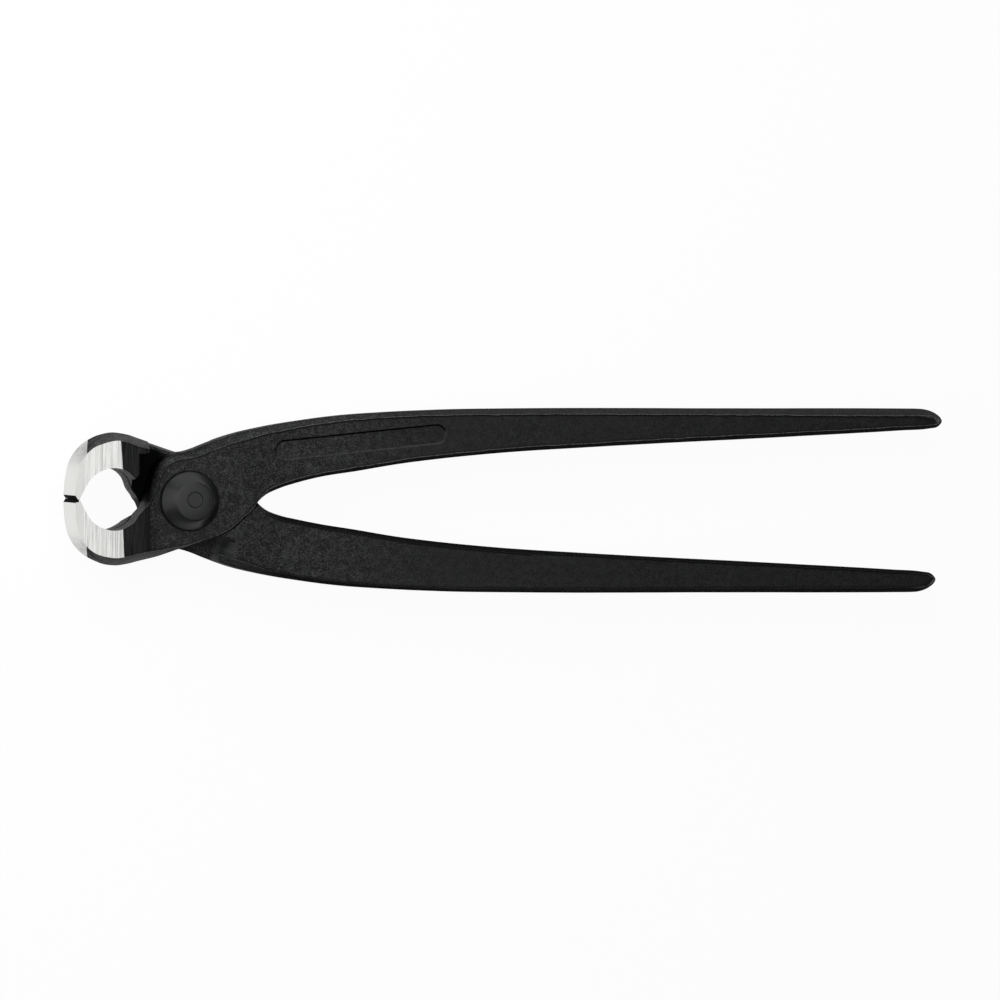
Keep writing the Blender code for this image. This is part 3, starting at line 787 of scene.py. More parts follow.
print("field:", FIELD_LENGTH / MM, "by", FIELD_HEIGHT / MM, "mm")

# %% [markdown]
# ## Cut and join
# All cutters of a lever go into one collection and are taken out in one step. A weld of
# the very short edges then clears the slivers that a cut leaves along the grid. The rear
# lever is the same forging turned half round, so one function makes both.

# %% Cut away
SHORTEST_EDGE = 0.03 * MM
# Faces that meet at less than this are shaded as one smooth skin.
SHARP_FORGING = math.radians(16)


def cut_away(item, cutters):
    """Take the cutters out of an object in one step, for good, and drop them."""
    group = bpy.data.collections.new(item.name + "_cuts")
    for cutter in cutters:
        group.objects.link(cutter)
    tool = item.modifiers.new("cuts", "BOOLEAN")
    tool.operation = "DIFFERENCE"
    tool.operand_type = "COLLECTION"
    tool.collection = group
    seam = item.modifiers.new("short_edges", "WELD")
    seam.mode = "CONNECTED"
    seam.merge_threshold = SHORTEST_EDGE
    shaped = item.evaluated_get(bpy.context.evaluated_depsgraph_get())
    mesh = bpy.data.meshes.new_from_object(shaped)
    item.modifiers.clear()
    item.data = mesh
    for cutter in cutters:
        bpy.data.objects.remove(cutter)
    bpy.data.collections.remove(group)


print("edges under", SHORTEST_EDGE / MM, "mm are welded")

# %% Build the two levers
def lever(name, handle_reach, offset, seen_side, with_field):
    """One lever: forged body, lap recess, rivet bore and, on the front one, the field."""
    item = new_object(name, lever_body(name, handle_reach, offset, seen_side))
    cutters = [lap_cutter(name + "_lap", handle_reach, offset), bore_cutter(name + "_bore")]
    if with_field:
        cutters.append(field_cutter(name + "_field", handle_reach))
    cut_away(item, cutters)
    item.data.shade_smooth()
    item.data.set_sharp_from_angle(angle=SHARP_FORGING)
    return item


front = lever("front_forging", FRONT_HANDLE_REACH, MEETING_OFFSET, 1, True)
rear = lever("rear_forging", REAR_HANDLE_REACH, -MEETING_OFFSET, -1, False)
front.matrix_world = Matrix.Translation(PIVOT)
rear.matrix_world = Matrix.Translation(PIVOT) @ Matrix.Rotation(math.pi, 4, "X")
print("front lever:", len(front.data.polygons), "faces")
print("rear lever:", len(rear.data.polygons), "faces")

# %% [markdown]
# ## The rivet
# The rivet is pressed hot, so each head is a low cone with a flat top, set a little off
# the shank, with the fine round mark of the press tool on the flat. It could be turned
# from one profile, but then all would share one axis. Here rings of one count are stacked,
# and their centres slide sideways as they rise.

# %% Build the rivet
HEAD_TOP = PLATE_HALF + 3.8 * MM
HEAD_SEAT = PLATE_HALF - SEAT_DEPTH + 0.2 * MM
HEAD_RADIUS = 7.2 * MM
HEAD_BROW = PLATE_HALF + 1.0 * MM
BROW_RADIUS = 0.5 * MM
FLAT_RADIUS = 4.6 * MM
HEAD_CENTRE = Vector((0.2 * MM, 0.0))
FLAT_CENTRE = Vector((0.8 * MM, -0.1 * MM))
MARK_CENTRE = Vector((0.9 * MM, 0.3 * MM))
MARK_RADIUS = 1.75 * MM
MARK_WIDTH = 0.24 * MM
MARK_DEPTH = 0.12 * MM
# The press leaves sharp corners, and the brow above the rim is the only soft one.
SHARP_RIVET = math.radians(30)


def rivet_rows():
    """Half section of the rivet: radius, height and centre of each ring."""
    rows = [
        (SHANK_RADIUS, HEAD_SEAT, Vector((0, 0))),
        (HEAD_RADIUS - 0.2 * MM, HEAD_SEAT, HEAD_CENTRE),
        (HEAD_RADIUS, HEAD_SEAT + 0.2 * MM, HEAD_CENTRE),
        (HEAD_RADIUS, HEAD_BROW - BROW_RADIUS * 0.6, HEAD_CENTRE),
    ]
    for step in range(1, 6):
        angle = math.radians(9 * step)
        rows.append((HEAD_RADIUS - BROW_RADIUS * (1 - math.cos(angle)),
                     HEAD_BROW + BROW_RADIUS * (math.sin(angle) - 0.6), HEAD_CENTRE))
    rows += [
        (FLAT_RADIUS + 1.2 * MM, HEAD_TOP - 1.18 * MM, HEAD_CENTRE.lerp(FLAT_CENTRE, 0.45)),
        (FLAT_RADIUS + 0.28 * MM, HEAD_TOP - 0.2 * MM, FLAT_CENTRE),
        (FLAT_RADIUS + 0.1 * MM, HEAD_TOP - 0.06 * MM, FLAT_CENTRE),
        (FLAT_RADIUS - 0.15 * MM, HEAD_TOP, FLAT_CENTRE),
        (MARK_RADIUS + MARK_WIDTH, HEAD_TOP, MARK_CENTRE),
        (MARK_RADIUS + MARK_WIDTH * 0.5, HEAD_TOP - MARK_DEPTH, MARK_CENTRE),
        (MARK_RADIUS, HEAD_TOP, MARK_CENTRE),
        (MARK_RADIUS * 0.1, HEAD_TOP, MARK_CENTRE),
    ]
    return rows


def rivet(name):
    """The rivet with both its heads, the far one mirrored across the lever."""
    half = rivet_rows()
    section = [(radius, -rise, centre * Vector((1, -1))) for radius, rise, centre in half[::-1]]
    rings = [circle(centre, radius, rise) for radius, rise, centre in section + half]
    item = new_object(name, stacked_mesh(name, rings))
    item.data.shade_smooth()
    item.data.set_sharp_from_angle(angle=SHARP_RIVET)
    item.matrix_world = Matrix.Translation(PIVOT)
    return item


pin = rivet("pressed_rivet")
print("rivet:", len(pin.data.polygons), "faces")

# %% [markdown]
# ## Marks for the finishes
# A finish changes along the crease and at the border of the ground jaw. The border is a
# straight line of faces, so those faces simply get the other material. The crease wanders,
# so each point of the mesh stores how far it lies from it, in millimetres: below zero on
# the rim, above zero on the side face. A shader can then draw the worn line at any width.

# %% Measure the distance to the crease
FAR_FROM_CREASE = 9.0
CREASE_LEVEL_SHARE = 0.5


def crease_tree(outline):
    """Points of the crease in a search tree, with the way out to the outline."""
    crease = inset_outline(outline, 1.0, 0.0, True)
    spots = []
    for i, spot in enumerate(crease):
        following = crease[(i + 1) % len(crease)]
        outward = outline[i].to_2d() - spot
        for step in range(6):
            spots.append((spot.lerp(following, step / 6), outward))
    tree = kdtree.KDTree(len(spots))
    for i, (spot, _) in enumerate(spots):
        tree.insert((spot.x, spot.y, 0), i)
    tree.balance()
    return tree, spots


def mark_crease(item, handle_reach, offset):
    """Store each point's distance to the crease, in millimetres."""
    outline = smooth_outline(lever_knots(handle_reach, offset))
    near_side, far_side = crease_tree(outline), crease_tree(far_side_outline(outline))
    stations = side_profile(handle_reach)
    marks = item.data.attributes.new("crease_mm", "FLOAT", "POINT")
    for vert in item.data.vertices:
        level = abs(vert.co.z) / soft_height(stations, vert.co.x)
        place = Vector((vert.co.x, vert.co.y, 0))
        tree, spots = far_side if vert.co.z < 0 else near_side
        nearest, index, distance = tree.find(place)
        outward = spots[index][1]
        if (place - nearest).to_2d().dot(outward) > 0:
            distance = -distance
        if level < CREASE_LEVEL_SHARE and distance > -0.5 * MM:
            distance = FAR_FROM_CREASE * MM
        marks.data[vert.index].value = distance / MM


mark_crease(front, FRONT_HANDLE_REACH, MEETING_OFFSET)
mark_crease(rear, REAR_HANDLE_REACH, -MEETING_OFFSET)
print("crease marks stored on", len(front.data.vertices) + len(rear.data.vertices), "points")

# %% [markdown]
# ## Node helper
# Every finish below is a small node tree. One helper adds a node, sets its values and
# links its sockets, so that each finish reads as a list of what goes into it.

# %% Helper for node trees
MIX_FIRST = 6
MIX_SECOND = 7
MIX_COLOUR = 2


def add_node(tree, kind, settings=None, links=None):
    """Add one node, set its properties and sockets, and link sockets to it."""
    node = tree.nodes.new(kind)
    for key, value in (settings or {}).items():
        if isinstance(key, int) or key in node.inputs:
            node.inputs[key].default_value = value
        else:
            setattr(node, key, value)
    for key, source in (links or {}).items():
        socket = source.outputs[0] if isinstance(source, bpy.types.Node) else source
        tree.links.new(socket, node.inputs[key])
    return node


def new_material(name, metallic, roughness, level):
    """A material with the constants of its surface shader set."""
    material = bpy.data.materials.new(name)
    material.use_nodes = True
    shader = material.node_tree.nodes["Principled BSDF"]
    shader.inputs["Metallic"].default_value = metallic
    shader.inputs["Roughness"].default_value = roughness
    shader.inputs["Specular IOR Level"].default_value = level
    return material, material.node_tree, shader


def place_in_mm(tree):
    """Texture coordinates of a piece, and the place on it in millimetres."""
    spot = add_node(tree, "ShaderNodeTexCoord")
    mm = add_node(tree, "ShaderNodeVectorMath", {"operation": "SCALE", "Scale": 1 / MM},
                  {0: spot.outputs["Object"]})
    return spot, mm


print("colour sockets of a Mix node:", MIX_FIRST, "and", MIX_SECOND)

# %% [markdown]
# ## Black oxide on forged steel
# The levers are drop forged, blasted, and blackened in a hot salt bath, which turns the
# skin of the steel into magnetite, and then oiled. The blasted skin has a fine grain of a
# few tenths of a millimetre, which shows most round the joint. Beside the ground jaw the
# side faces were milled before blackening, so they are smoother and carry faint lines
# across the lever. The layer is dark and does not behave like bare metal, so the metallic
# value is zero and the oil's gloss is low. A painted picture could carry all this, but
# noise in real millimetres keeps its scale, so it gives the grain, and stretched noise
# the milling lines.

# %% Colours and sizes of the oxide
# The pattern widths are real ones in millimetres, but the milling lines are drawn about
# twice as coarse as they are, so that they show. Black gives the eye little but gloss, so
# the colours lie close together: dark in the pits of the grain and lighter on its tops.
GRAIN_WIDTH = 0.36
BLOTCH_WIDTH = 1.6
GRAIN_WEIGHT = 2.2
MILLING_WIDTH = 0.22
MILLING_LENGTH = 9.0
LINE_WEIGHT = 0.25
MILLED_GRAIN = 0.12
GRAIN_DEPTH = 0.045 * MM
MILLED_END = -9.8
MILLED_FADE = 0.25
BORDER_BOW = 0.3
LAP_EDGE_SLOPE = -0.334
BEAD_LINE_WIDTH = 0.17
OXIDE_DARK = "#090a0a"
OXIDE_LIGHT = "#444545"
OXIDE_MILLED = "#0a0b0b"
OXIDE_RAMP = "#292a2b"
# A light grey: painted light at the ramp's foot, which lifts its shade.
OXIDE_FOOT_LIGHT = "#4a4b4b"
# Worn oxide, and also a painted highlight on the bead and on the field's lower wall.
OXIDE_WEAR_AND_HIGHLIGHT = "#777877"
# Near black: painted shade beside the bead, on shaded rims, on the field's upper wall and in the
# recesses.
OXIDE_SHADE = "#040505"
OXIDE_GLOSS = 0.26
BAND_GLOSS = 0.5
MATT_GLOSS = 0.02
SKIN_SHADES = (-0.10, 0.48)
SKIN_ROUGHNESS = 0.50
MILLED_ROUGHNESS = 0.40
RAMP_GLOSS = 0.1
print("grain", GRAIN_WIDTH, "mm, milling lines", MILLING_WIDTH, "mm")

# %% [markdown]
# ## Zones of the oxide
# A tool in use is not one even black, and this finish also carries painted light and shade.
# Hands rub the bead along the crease, which is drawn lighter as worn oxide and as a painted
# highlight of the bead. The lower wall of the field has a painted highlight and its upper
# wall painted shade. The wire polishes the back of the jaw, and the outer edge of the lap
# face is rubbed bright. Painted shade lies beside the bead, on the rims that face the other
# handle or away from the light, in the lap beside the shoulder, on the steep nose of the
# plate and in the groove at the cutting edges. The ramp behind the lap keeps the dull skin
# of its cutter, and its foot has painted light that lifts its shade. Each zone could have
# nodes of its own, but as most are the same kind of mask, one table holds them: a mask rises
# between two readings of place, of direction or of distance to the crease. A second table
# says where zones overlap (multiply) or join (maximum).

# %% Table of zones
# Zone, what is read, where the mask starts and where it is full, its least and its most.
# Places are in millimetres from the rivet. A direction of 1 is level and 0 is upright.
OXIDE_ZONES = (
    ("side_face", "level", 0.95, 0.985, 0.0, 1.0),
    ("rolled_rim", "level", 0.95, 0.985, 1.0, 0.0),
    ("steep", "level", 0.55, 0.3, 0.0, 1.0),
    ("upright", "level", 0.3, 0.2, 0.0, 1.0),
    ("faces_jaw", "facing_x", -0.12, -0.3, 0.0, 1.0),
    ("faces_inward", "facing_y", -0.2, -0.5, 0.0, 1.0),
    ("faces_outward", "facing_y", 0.2, 0.5, 0.0, 1.0),
    ("faces_lap_side", "facing_z", 0.0, -0.1, 0.0, 1.0),
    ("no_flank", "flank", 0.3, 0.12, 0.0, 1.0),
    ("lower_wall", "facing_y", 0.3, 0.6, 0.0, 0.15),
    ("upper_wall", "facing_y", -0.3, -0.6, 0.0, 1.0),
    # Along the lever, from the cutting edge to the handle.
    ("at_edge", "x", -27.2, -27.4, 0.0, 1.0),
    ("behind_edge", "x", -26.9, -26.6, 0.0, 1.0),
    ("past_shoulder", "x", -12.3, -12.1, 0.0, 1.0),
    ("milled_run", "from_border", MILLED_END + MILLED_FADE, MILLED_END - MILLED_FADE, 0.0, 1.0),
    ("before_lap", "x", -8.6, -9.2, 0.0, 1.0),
    ("on_jaw", "x", -8.0, -12.0, 0.0, 1.0),
    ("by_shoulder", "x", -3.0, -6.0, 0.12, 1.0),
    ("matt_below", "x", -6.0, -3.0, 0.25, 0.45),
    ("gloss_above", "x", -6.0, -3.0, 0.55, 0.84),
    ("skin_middle", "x", 2.0, 14.0, 1.6, 1.51),
    ("behind_rivet", "x", 4.0, 5.0, 0.0, 1.0),
    ("half_tint", "x", 4.0, 5.0, 0.0, 0.5),
    ("on_handle", "x", 8.0, 24.0, 0.0, 0.85),
    ("past_head", "x", 20.0, 21.0, 0.0, 1.0),
    ("by_rivet", "x", 30.0, 26.0, 0.0, 1.0),
    ("handled", "x", -40.0, 40.0, 0.0, 0.85),
    ("grainy", "x", 34.0, 62.0, 1.0, 0.28),
    # Across the lever, and up from the joint plane.
    ("by_groove", "off_middle", 1.7, 1.4, 0.0, 1.0),
    ("in_hollow", "off_middle", 9.0, 8.4, 0.0, 1.0),
    ("below_back", "y", -1.0, 0.0, 0.0, 1.0),
    ("low_part", "y", 13.2, 12.6, 0.0, 1.0),
    ("lap_height", "off_joint", 1.5, 0.9, 0.0, 1.0),
    ("foot_height", "off_joint", 5.0, 2.5, 0.0, 1.0),
    ("off_lap_edge", "from_lap_edge", -10.3, -9.9, 0.1, 1.0),
    ("at_lap_edge", "from_lap_edge", -10.7, -10.9, 0.0, 0.9),
    # Beside the crease, and in the grain itself.
    ("bead_line", "off_crease", BEAD_LINE_WIDTH, 0.0, 0.0, 1.0),
    ("past_bead", "crease", 0.12, 0.26, 0.0, 0.8),
    ("beside_bead", "crease", 0.62, 0.36, 0.0, 1.0),
    ("inside_face", "crease", 1.0, 1.2, 0.0, 1.0),
    ("patchy", "grain", 0.4, 0.55, 0.25, 1.0),
    ("speckled", "grain", 0.4, 0.62, 0.02, 0.12),
    ("line_shade", "lines", 0.42, 0.68, 0.3, 1.0),
)
# Zone, how it is put together, and from which others.
OXIDE_OVERLAPS = (
    ("milled", "MULTIPLY", "milled_run", "side_face"),
    ("milled_lines", "MULTIPLY", "milled", "line_shade"),
    # Worn oxide and a painted highlight: a lighter line along the bead.
    ("bead_wear_and_highlight", "MULTIPLY", "bead_line", "handled", "patchy"),
    # Painted shade: a dark strip beside the bead.
    ("bead_shade", "MULTIPLY", "beside_bead", "past_bead"),
    # Painted shade on the rims that face the other handle or away from the light.
    ("far_flank", "MULTIPLY", "faces_outward", "faces_lap_side"),
    ("flanks", "MAXIMUM", "faces_inward", "far_flank"),
    ("rim_shade", "MULTIPLY", "flanks", "on_handle"),
    ("rim_and_bead_shade", "MAXIMUM", "rim_shade", "bead_shade"),
    # Painted highlight on the field's lower wall, and painted shade on its upper wall.
    ("field_wall_highlight", "MULTIPLY", "lower_wall", "inside_face", "past_head"),
    ("field_wall_shade", "MULTIPLY", "upper_wall", "inside_face", "past_head"),
    ("rubbed_edge", "MULTIPLY", "lap_height", "at_lap_edge", "by_rivet", "side_face"),
    # Painted shade in the lap beside the shoulder, on the steep nose of the plate and in the
    # groove at the cutting edges.
    ("lap_shade", "MULTIPLY", "lap_height", "by_shoulder", "off_lap_edge"),
    ("nose_shade", "MULTIPLY", "steep", "by_shoulder", "past_shoulder", "below_back"),
    ("groove_shade", "MULTIPLY", "at_edge", "by_groove"),
    ("recess_shade", "MAXIMUM", "lap_shade", "nose_shade", "groove_shade"),
    ("polished_back", "MULTIPLY", "on_jaw", "rolled_rim"),
    ("hollow", "MULTIPLY", "in_hollow", "before_lap", "behind_edge", "upright"),
    ("off_rim", "MAXIMUM", "no_flank", "low_part"),
    ("ramp", "MULTIPLY", "faces_jaw", "off_rim", "behind_rivet"),
    ("ramp_tint", "MULTIPLY", "faces_jaw", "off_rim", "half_tint"),
    # Painted light at the foot of the ramp, which lifts its shade.
    ("foot", "MULTIPLY", "foot_height", "ramp"),
)
# Colours that lie over the grain, in this order: milled lines, wear, and painted light and
# shade.
OXIDE_COATS = (
    ("milled_lines", OXIDE_MILLED), ("bead_wear_and_highlight", OXIDE_WEAR_AND_HIGHLIGHT), ("rim_and_bead_shade", OXIDE_SHADE),
    ("field_wall_highlight", OXIDE_WEAR_AND_HIGHLIGHT), ("field_wall_shade", OXIDE_SHADE), ("rubbed_edge", OXIDE_WEAR_AND_HIGHLIGHT),
    ("recess_shade", OXIDE_SHADE), ("ramp_tint", OXIDE_RAMP), ("foot", OXIDE_FOOT_LIGHT),
)
# Zones that lose most of their gloss, and the share of it that is left: the milled lines, and
# the painted shade on the rims and in the recesses.
OXIDE_DULLED = (("rim_shade", 0.1), ("milled_lines", 0.22), ("recess_shade", 0.1))
print("zones:", len(OXIDE_ZONES), "read and", len(OXIDE_OVERLAPS), "put together")

# %% Masks from the tables
def oxide_zones(tree, readings):
    """One mask for every zone of the two tables."""
    zones = {}
    for zone, reading, start, full, least, most in OXIDE_ZONES:
        zones[zone] = add_node(
            tree, "ShaderNodeMapRange",
            {"From Min": start, "From Max": full, "To Min": least, "To Max": most},
            {"Value": readings[reading]})
    for zone, operation, first, *others in OXIDE_OVERLAPS:
        zones[zone] = zones[first]
        for other in others:
            zones[zone] = add_node(tree, "ShaderNodeMath", {"operation": operation},
                                   {0: zones[zone], 1: zones[other]})
    return zones


def oxide_readings(tree, spot, mm, textures):
    """Everything on the surface that the table of zones reads."""
    x, y, z = add_node(tree, "ShaderNodeSeparateXYZ", None, {0: mm}).outputs
    facing_x, facing_y, facing_z = add_node(
        tree, "ShaderNodeSeparateXYZ", None, {0: spot.outputs["Normal"]}).outputs
    crease = add_node(tree, "ShaderNodeAttribute", {"attribute_name": "crease_mm"})
    readings = {"x": x, "y": y, "facing_x": facing_x, "facing_y": facing_y,
                "facing_z": facing_z, "crease": crease.outputs["Fac"], **textures}
    for reading, source in (("level", facing_z), ("flank", facing_y), ("off_middle", y),
                            ("off_joint", z), ("off_crease", crease.outputs["Fac"])):
        readings[reading] = add_node(tree, "ShaderNodeMath", {"operation": "ABSOLUTE"},
                                     {0: source})
    # The border of the milled zone bows a little away from the jaw.
    bow = add_node(tree, "ShaderNodeMapRange",
                   {"interpolation_type": "SMOOTHSTEP", "From Min": 4.0, "From Max": 13.0,
                    "To Max": BORDER_BOW}, {"Value": readings["off_middle"]})
    readings["from_border"] = add_node(tree, "ShaderNodeMath", {"operation": "SUBTRACT"},
                                       {0: x, 1: bow})
    readings["from_lap_edge"] = add_node(
        tree, "ShaderNodeMath", {"operation": "MULTIPLY_ADD", 1: LAP_EDGE_SLOPE}, {0: x, 2: y})
    return readings


print("coats of colour:", len(OXIDE_COATS))

# %% Material of the levers
def oxide_height(tree, textures, zones):
    """Height of the blasted grain, and height of grain and milling lines together."""
    skin = add_node(tree, "ShaderNodeMath", {"operation": "MULTIPLY_ADD", 1: GRAIN_WEIGHT},
                    {0: textures["grain"], 2: textures["blotch"]})
    centred = add_node(tree, "ShaderNodeMath", {"operation": "SUBTRACT"},
                       {0: skin, 1: zones["skin_middle"]})
    smooth = add_node(tree, "ShaderNodeMapRange", {"To Min": 1.0, "To Max": MILLED_GRAIN},
                      {"Value": zones["milled"]})
    rough = centred
    for share in (zones["grainy"], smooth):
        rough = add_node(tree, "ShaderNodeMath", {"operation": "MULTIPLY"},
                         {0: rough, 1: share})
    lined = add_node(tree, "ShaderNodeMath", {"operation": "MULTIPLY"},
                     {0: textures["lines"], 1: zones["milled"]})
    height = add_node(tree, "ShaderNodeMath", {"operation": "MULTIPLY_ADD", 1: LINE_WEIGHT},
                      {0: lined, 2: rough})
    return rough, height


def black_oxide(name):
    """Black oxide over blasted and milled forged steel."""
    material, tree, shader = new_material(name, 0.0, 0.5, 0.28)
    spot, mm = place_in_mm(tree)
    stretched = add_node(tree, "ShaderNodeVectorMath",
                         {"operation": "MULTIPLY",
                          1: (1 / MILLING_WIDTH, 1 / MILLING_LENGTH, 1 / MILLING_LENGTH)},
                         {0: mm})
    textures = {}
    for texture, scale, detail, roughness, place in (
        ("grain", 1 / GRAIN_WIDTH, 2.0, 0.6, mm),
        ("blotch", 1 / BLOTCH_WIDTH, 3.0, 0.65, mm),
        ("lines", 1.0, 2.0, 0.5, stretched),
    ):
        textures[texture] = add_node(
            tree, "ShaderNodeTexNoise",
            {"Scale": scale, "Detail": detail, "Roughness": roughness}, {"Vector": place})
    readings = oxide_readings(tree, spot, mm, textures)
    zones = oxide_zones(tree, readings)
    rough, height = oxide_height(tree, textures, zones)
    bump = add_node(tree, "ShaderNodeBump", {"Strength": 1.0, "Distance": GRAIN_DEPTH},
                    {"Height": height})

    # Colour: the grain, and then one coat for each zone.
    shade = add_node(tree, "ShaderNodeMapRange",
                     {"From Min": SKIN_SHADES[0], "From Max": SKIN_SHADES[1]},
                     {"Value": rough})
    colour = add_node(tree, "ShaderNodeMix",
                      {"data_type": "RGBA", MIX_FIRST: paint(OXIDE_DARK),
                       MIX_SECOND: paint(OXIDE_LIGHT)}, {0: shade})
    for zone, tone in OXIDE_COATS:
        colour = add_node(tree, "ShaderNodeMix", {"data_type": "RGBA", MIX_SECOND: paint(tone)},
                          {0: zones[zone], MIX_FIRST: colour.outputs[MIX_COLOUR]})

    # Gloss: nothing rubs the upright walls, so they keep a dead matt skin. The hollow of
    # the jaw was milled, and its speckled wall shines a little.
    full_gloss = add_node(tree, "ShaderNodeMapRange",
                          {"To Min": OXIDE_GLOSS, "To Max": BAND_GLOSS},
                          {"Value": zones["polished_back"]})
    shine = add_node(tree, "ShaderNodeMapRange", {"To Min": MATT_GLOSS},
                     {"Value": readings["level"], "From Min": zones["matt_below"],
                      "From Max": zones["gloss_above"], "To Max": full_gloss})
    shine = add_node(tree, "ShaderNodeMix", None,
                     {0: zones["hollow"], 2: shine, 3: zones["speckled"]})
    shine = add_node(tree, "ShaderNodeMix", {3: RAMP_GLOSS}, {0: zones["ramp"], 2: shine})
    for zone, left in OXIDE_DULLED:
        dulled = add_node(tree, "ShaderNodeMapRange", {"To Min": 1.0, "To Max": left},
                          {"Value": zones[zone]})
        shine = add_node(tree, "ShaderNodeMath", {"operation": "MULTIPLY"},
                         {0: shine, 1: dulled})
    roughness = add_node(tree, "ShaderNodeMapRange",
                         {"To Min": SKIN_ROUGHNESS, "To Max": MILLED_ROUGHNESS},
                         {"Value": zones["milled"]})
    tree.links.new(colour.outputs[MIX_COLOUR], shader.inputs["Base Color"])
    tree.links.new(roughness.outputs[0], shader.inputs["Roughness"])
    tree.links.new(shine.outputs[0], shader.inputs["Specular IOR Level"])
    tree.links.new(bump.outputs[0], shader.inputs["Normal"])
    return material


oxide = black_oxide("black_oxide_forging")
print("finish:", oxide.name)

# %% [markdown]
# ## Ground tool steel
# The jaws are ground bright after hardening: the side faces on a surface grinder, whose
# grit leaves straight lines across the lever, and the curved outside on a belt. Bare steel
# is a metal, so its colour is its reflection. Lines of one to five tenths of a millimetre
# come from stretched noise, and the jaw's back darkens in patches away from its middle,
# towards the black skin.

# %% Material of the ground jaws
GRINDING_WIDTH = 0.26
GRINDING_LENGTH = 14.0
STEEL_BRIGHT = "#c5c5c3"
STEEL_DULL = "#adadab"
STEEL_BELTED = "#e2e2df"
STEEL_FADED = "#7f8080"
TIP_ZONE_END = -26.2
LINE_SHADES = (0.34, 0.58)
LINE_DEPTH = 0.01 * MM
JAW_BACK_FADE = (7.0, 13.5)
DULL_ROUGHNESS = 0.40
BRIGHT_ROUGHNESS = 0.27


def ground_steel(name):
    """Bright ground steel with grinding lines."""
    material, tree, shader = new_material(name, 1.0, 0.32, 0.5)
    spot, mm = place_in_mm(tree)
    axes = add_node(tree, "ShaderNodeSeparateXYZ", None, {0: mm})
    facing = add_node(tree, "ShaderNodeSeparateXYZ", None, {0: spot.outputs["Normal"]})
    level = add_node(tree, "ShaderNodeMath", {"operation": "ABSOLUTE"}, {0: facing.outputs[2]})
    on_wall = add_node(tree, "ShaderNodeMapRange", {"From Min": 0.97, "From Max": 0.9},
                       {"Value": level})
    stretched = add_node(tree, "ShaderNodeVectorMath",
                         {"operation": "MULTIPLY",
                          1: (1 / GRINDING_WIDTH, 1 / GRINDING_LENGTH, 1 / GRINDING_LENGTH)},
                         {0: mm})
    lines = add_node(tree, "ShaderNodeTexNoise",
                     {"Scale": 1.0, "Detail": 4.0, "Roughness": 0.65}, {"Vector": stretched})
    mottle = add_node(tree, "ShaderNodeTexNoise",
                      {"Scale": 0.8, "Detail": 4.0, "Roughness": 0.6}, {"Vector": mm})
    line_shade = add_node(tree, "ShaderNodeMapRange",
                          {"From Min": LINE_SHADES[0], "From Max": LINE_SHADES[1]},
                          {"Value": lines})
    # The last stretch before the edge was stoned by hand, and keeps few lines.
    stoned = add_node(tree, "ShaderNodeMapRange",
                      {"From Min": TIP_ZONE_END + 0.05, "From Max": TIP_ZONE_END - 0.05,
                       "To Max": 0.75}, {"Value": axes.outputs[0]})
    line_shade = add_node(tree, "ShaderNodeMix", {2: 0.0, 3: 0.5},
                          {0: stoned, 2: line_shade})
    colour = add_node(tree, "ShaderNodeMix",
                      {"data_type": "RGBA", MIX_FIRST: paint(STEEL_DULL),
                       MIX_SECOND: paint(STEEL_BRIGHT)}, {0: line_shade})

    # Over the outside of the jaw the colour darkens in patches away from the middle, towards the
    # black skin.
    off_middle = add_node(tree, "ShaderNodeMath", {"operation": "ABSOLUTE"},
                          {0: axes.outputs[1]})
    fade = add_node(tree, "ShaderNodeMapRange",
                    {"interpolation_type": "SMOOTHSTEP", "From Min": JAW_BACK_FADE[0],
                     "From Max": JAW_BACK_FADE[1], "To Max": 0.85}, {"Value": off_middle})
    fade_on_wall = add_node(tree, "ShaderNodeMath", {"operation": "MULTIPLY"},
                            {0: fade, 1: on_wall})
    colour = add_node(tree, "ShaderNodeMix",
                      {"data_type": "RGBA", MIX_SECOND: paint(STEEL_BELTED)},
                      {0: on_wall, MIX_FIRST: colour.outputs[MIX_COLOUR]})
    patchy = add_node(tree, "ShaderNodeMapRange",
                      {"From Min": 0.3, "From Max": 0.6, "To Min": 0.35}, {"Value": mottle})
    faded = add_node(tree, "ShaderNodeMath", {"operation": "MULTIPLY"},
                     {0: fade_on_wall, 1: patchy})
    colour = add_node(tree, "ShaderNodeMix",
                      {"data_type": "RGBA", MIX_SECOND: paint(STEEL_FADED)},
                      {0: faded, MIX_FIRST: colour.outputs[MIX_COLOUR]})
    gloss = add_node(tree, "ShaderNodeMapRange",
                     {"To Min": DULL_ROUGHNESS, "To Max": BRIGHT_ROUGHNESS},
                     {"Value": line_shade})
    bump = add_node(tree, "ShaderNodeBump", {"Strength": 0.35, "Distance": LINE_DEPTH},
                    {"Height": lines})
    tree.links.new(colour.outputs[MIX_COLOUR], shader.inputs["Base Color"])
    tree.links.new(gloss.outputs[0], shader.inputs["Roughness"])
    tree.links.new(bump.outputs[0], shader.inputs["Normal"])
    return material


steel = ground_steel("ground_tool_steel")
print("finish:", steel.name)

# %% [markdown]
# ## Where the jaws are bright
# The grinder stops at a straight border on each side face, and the belt at a slanting one
# on the jaw's back. A mask could fade from one finish to the other, but the real borders
# are crisp. So the mesh was cut along them, and each face gets one finish or the other.
# The narrow groove behind the cutting edges is too deep for the wheel and stays black.

# %% Choose the ground faces
GROOVE_WALL_REACH = 27.75 * MM
EDGE_ROUNDING_REACH = 27.3 * MM
EDGE_ROUNDING_HEIGHT = 0.2 * MM
FLAT_NORMAL = 0.97
FLAT_LEVEL = 7.0 * MM


def border_x(border, y):
    """Where the border of the ground side face runs at a height y."""
    (x0, y0), (x1, y1) = border
    return between(x0, x1, (y - y0) / (y1 - y0))


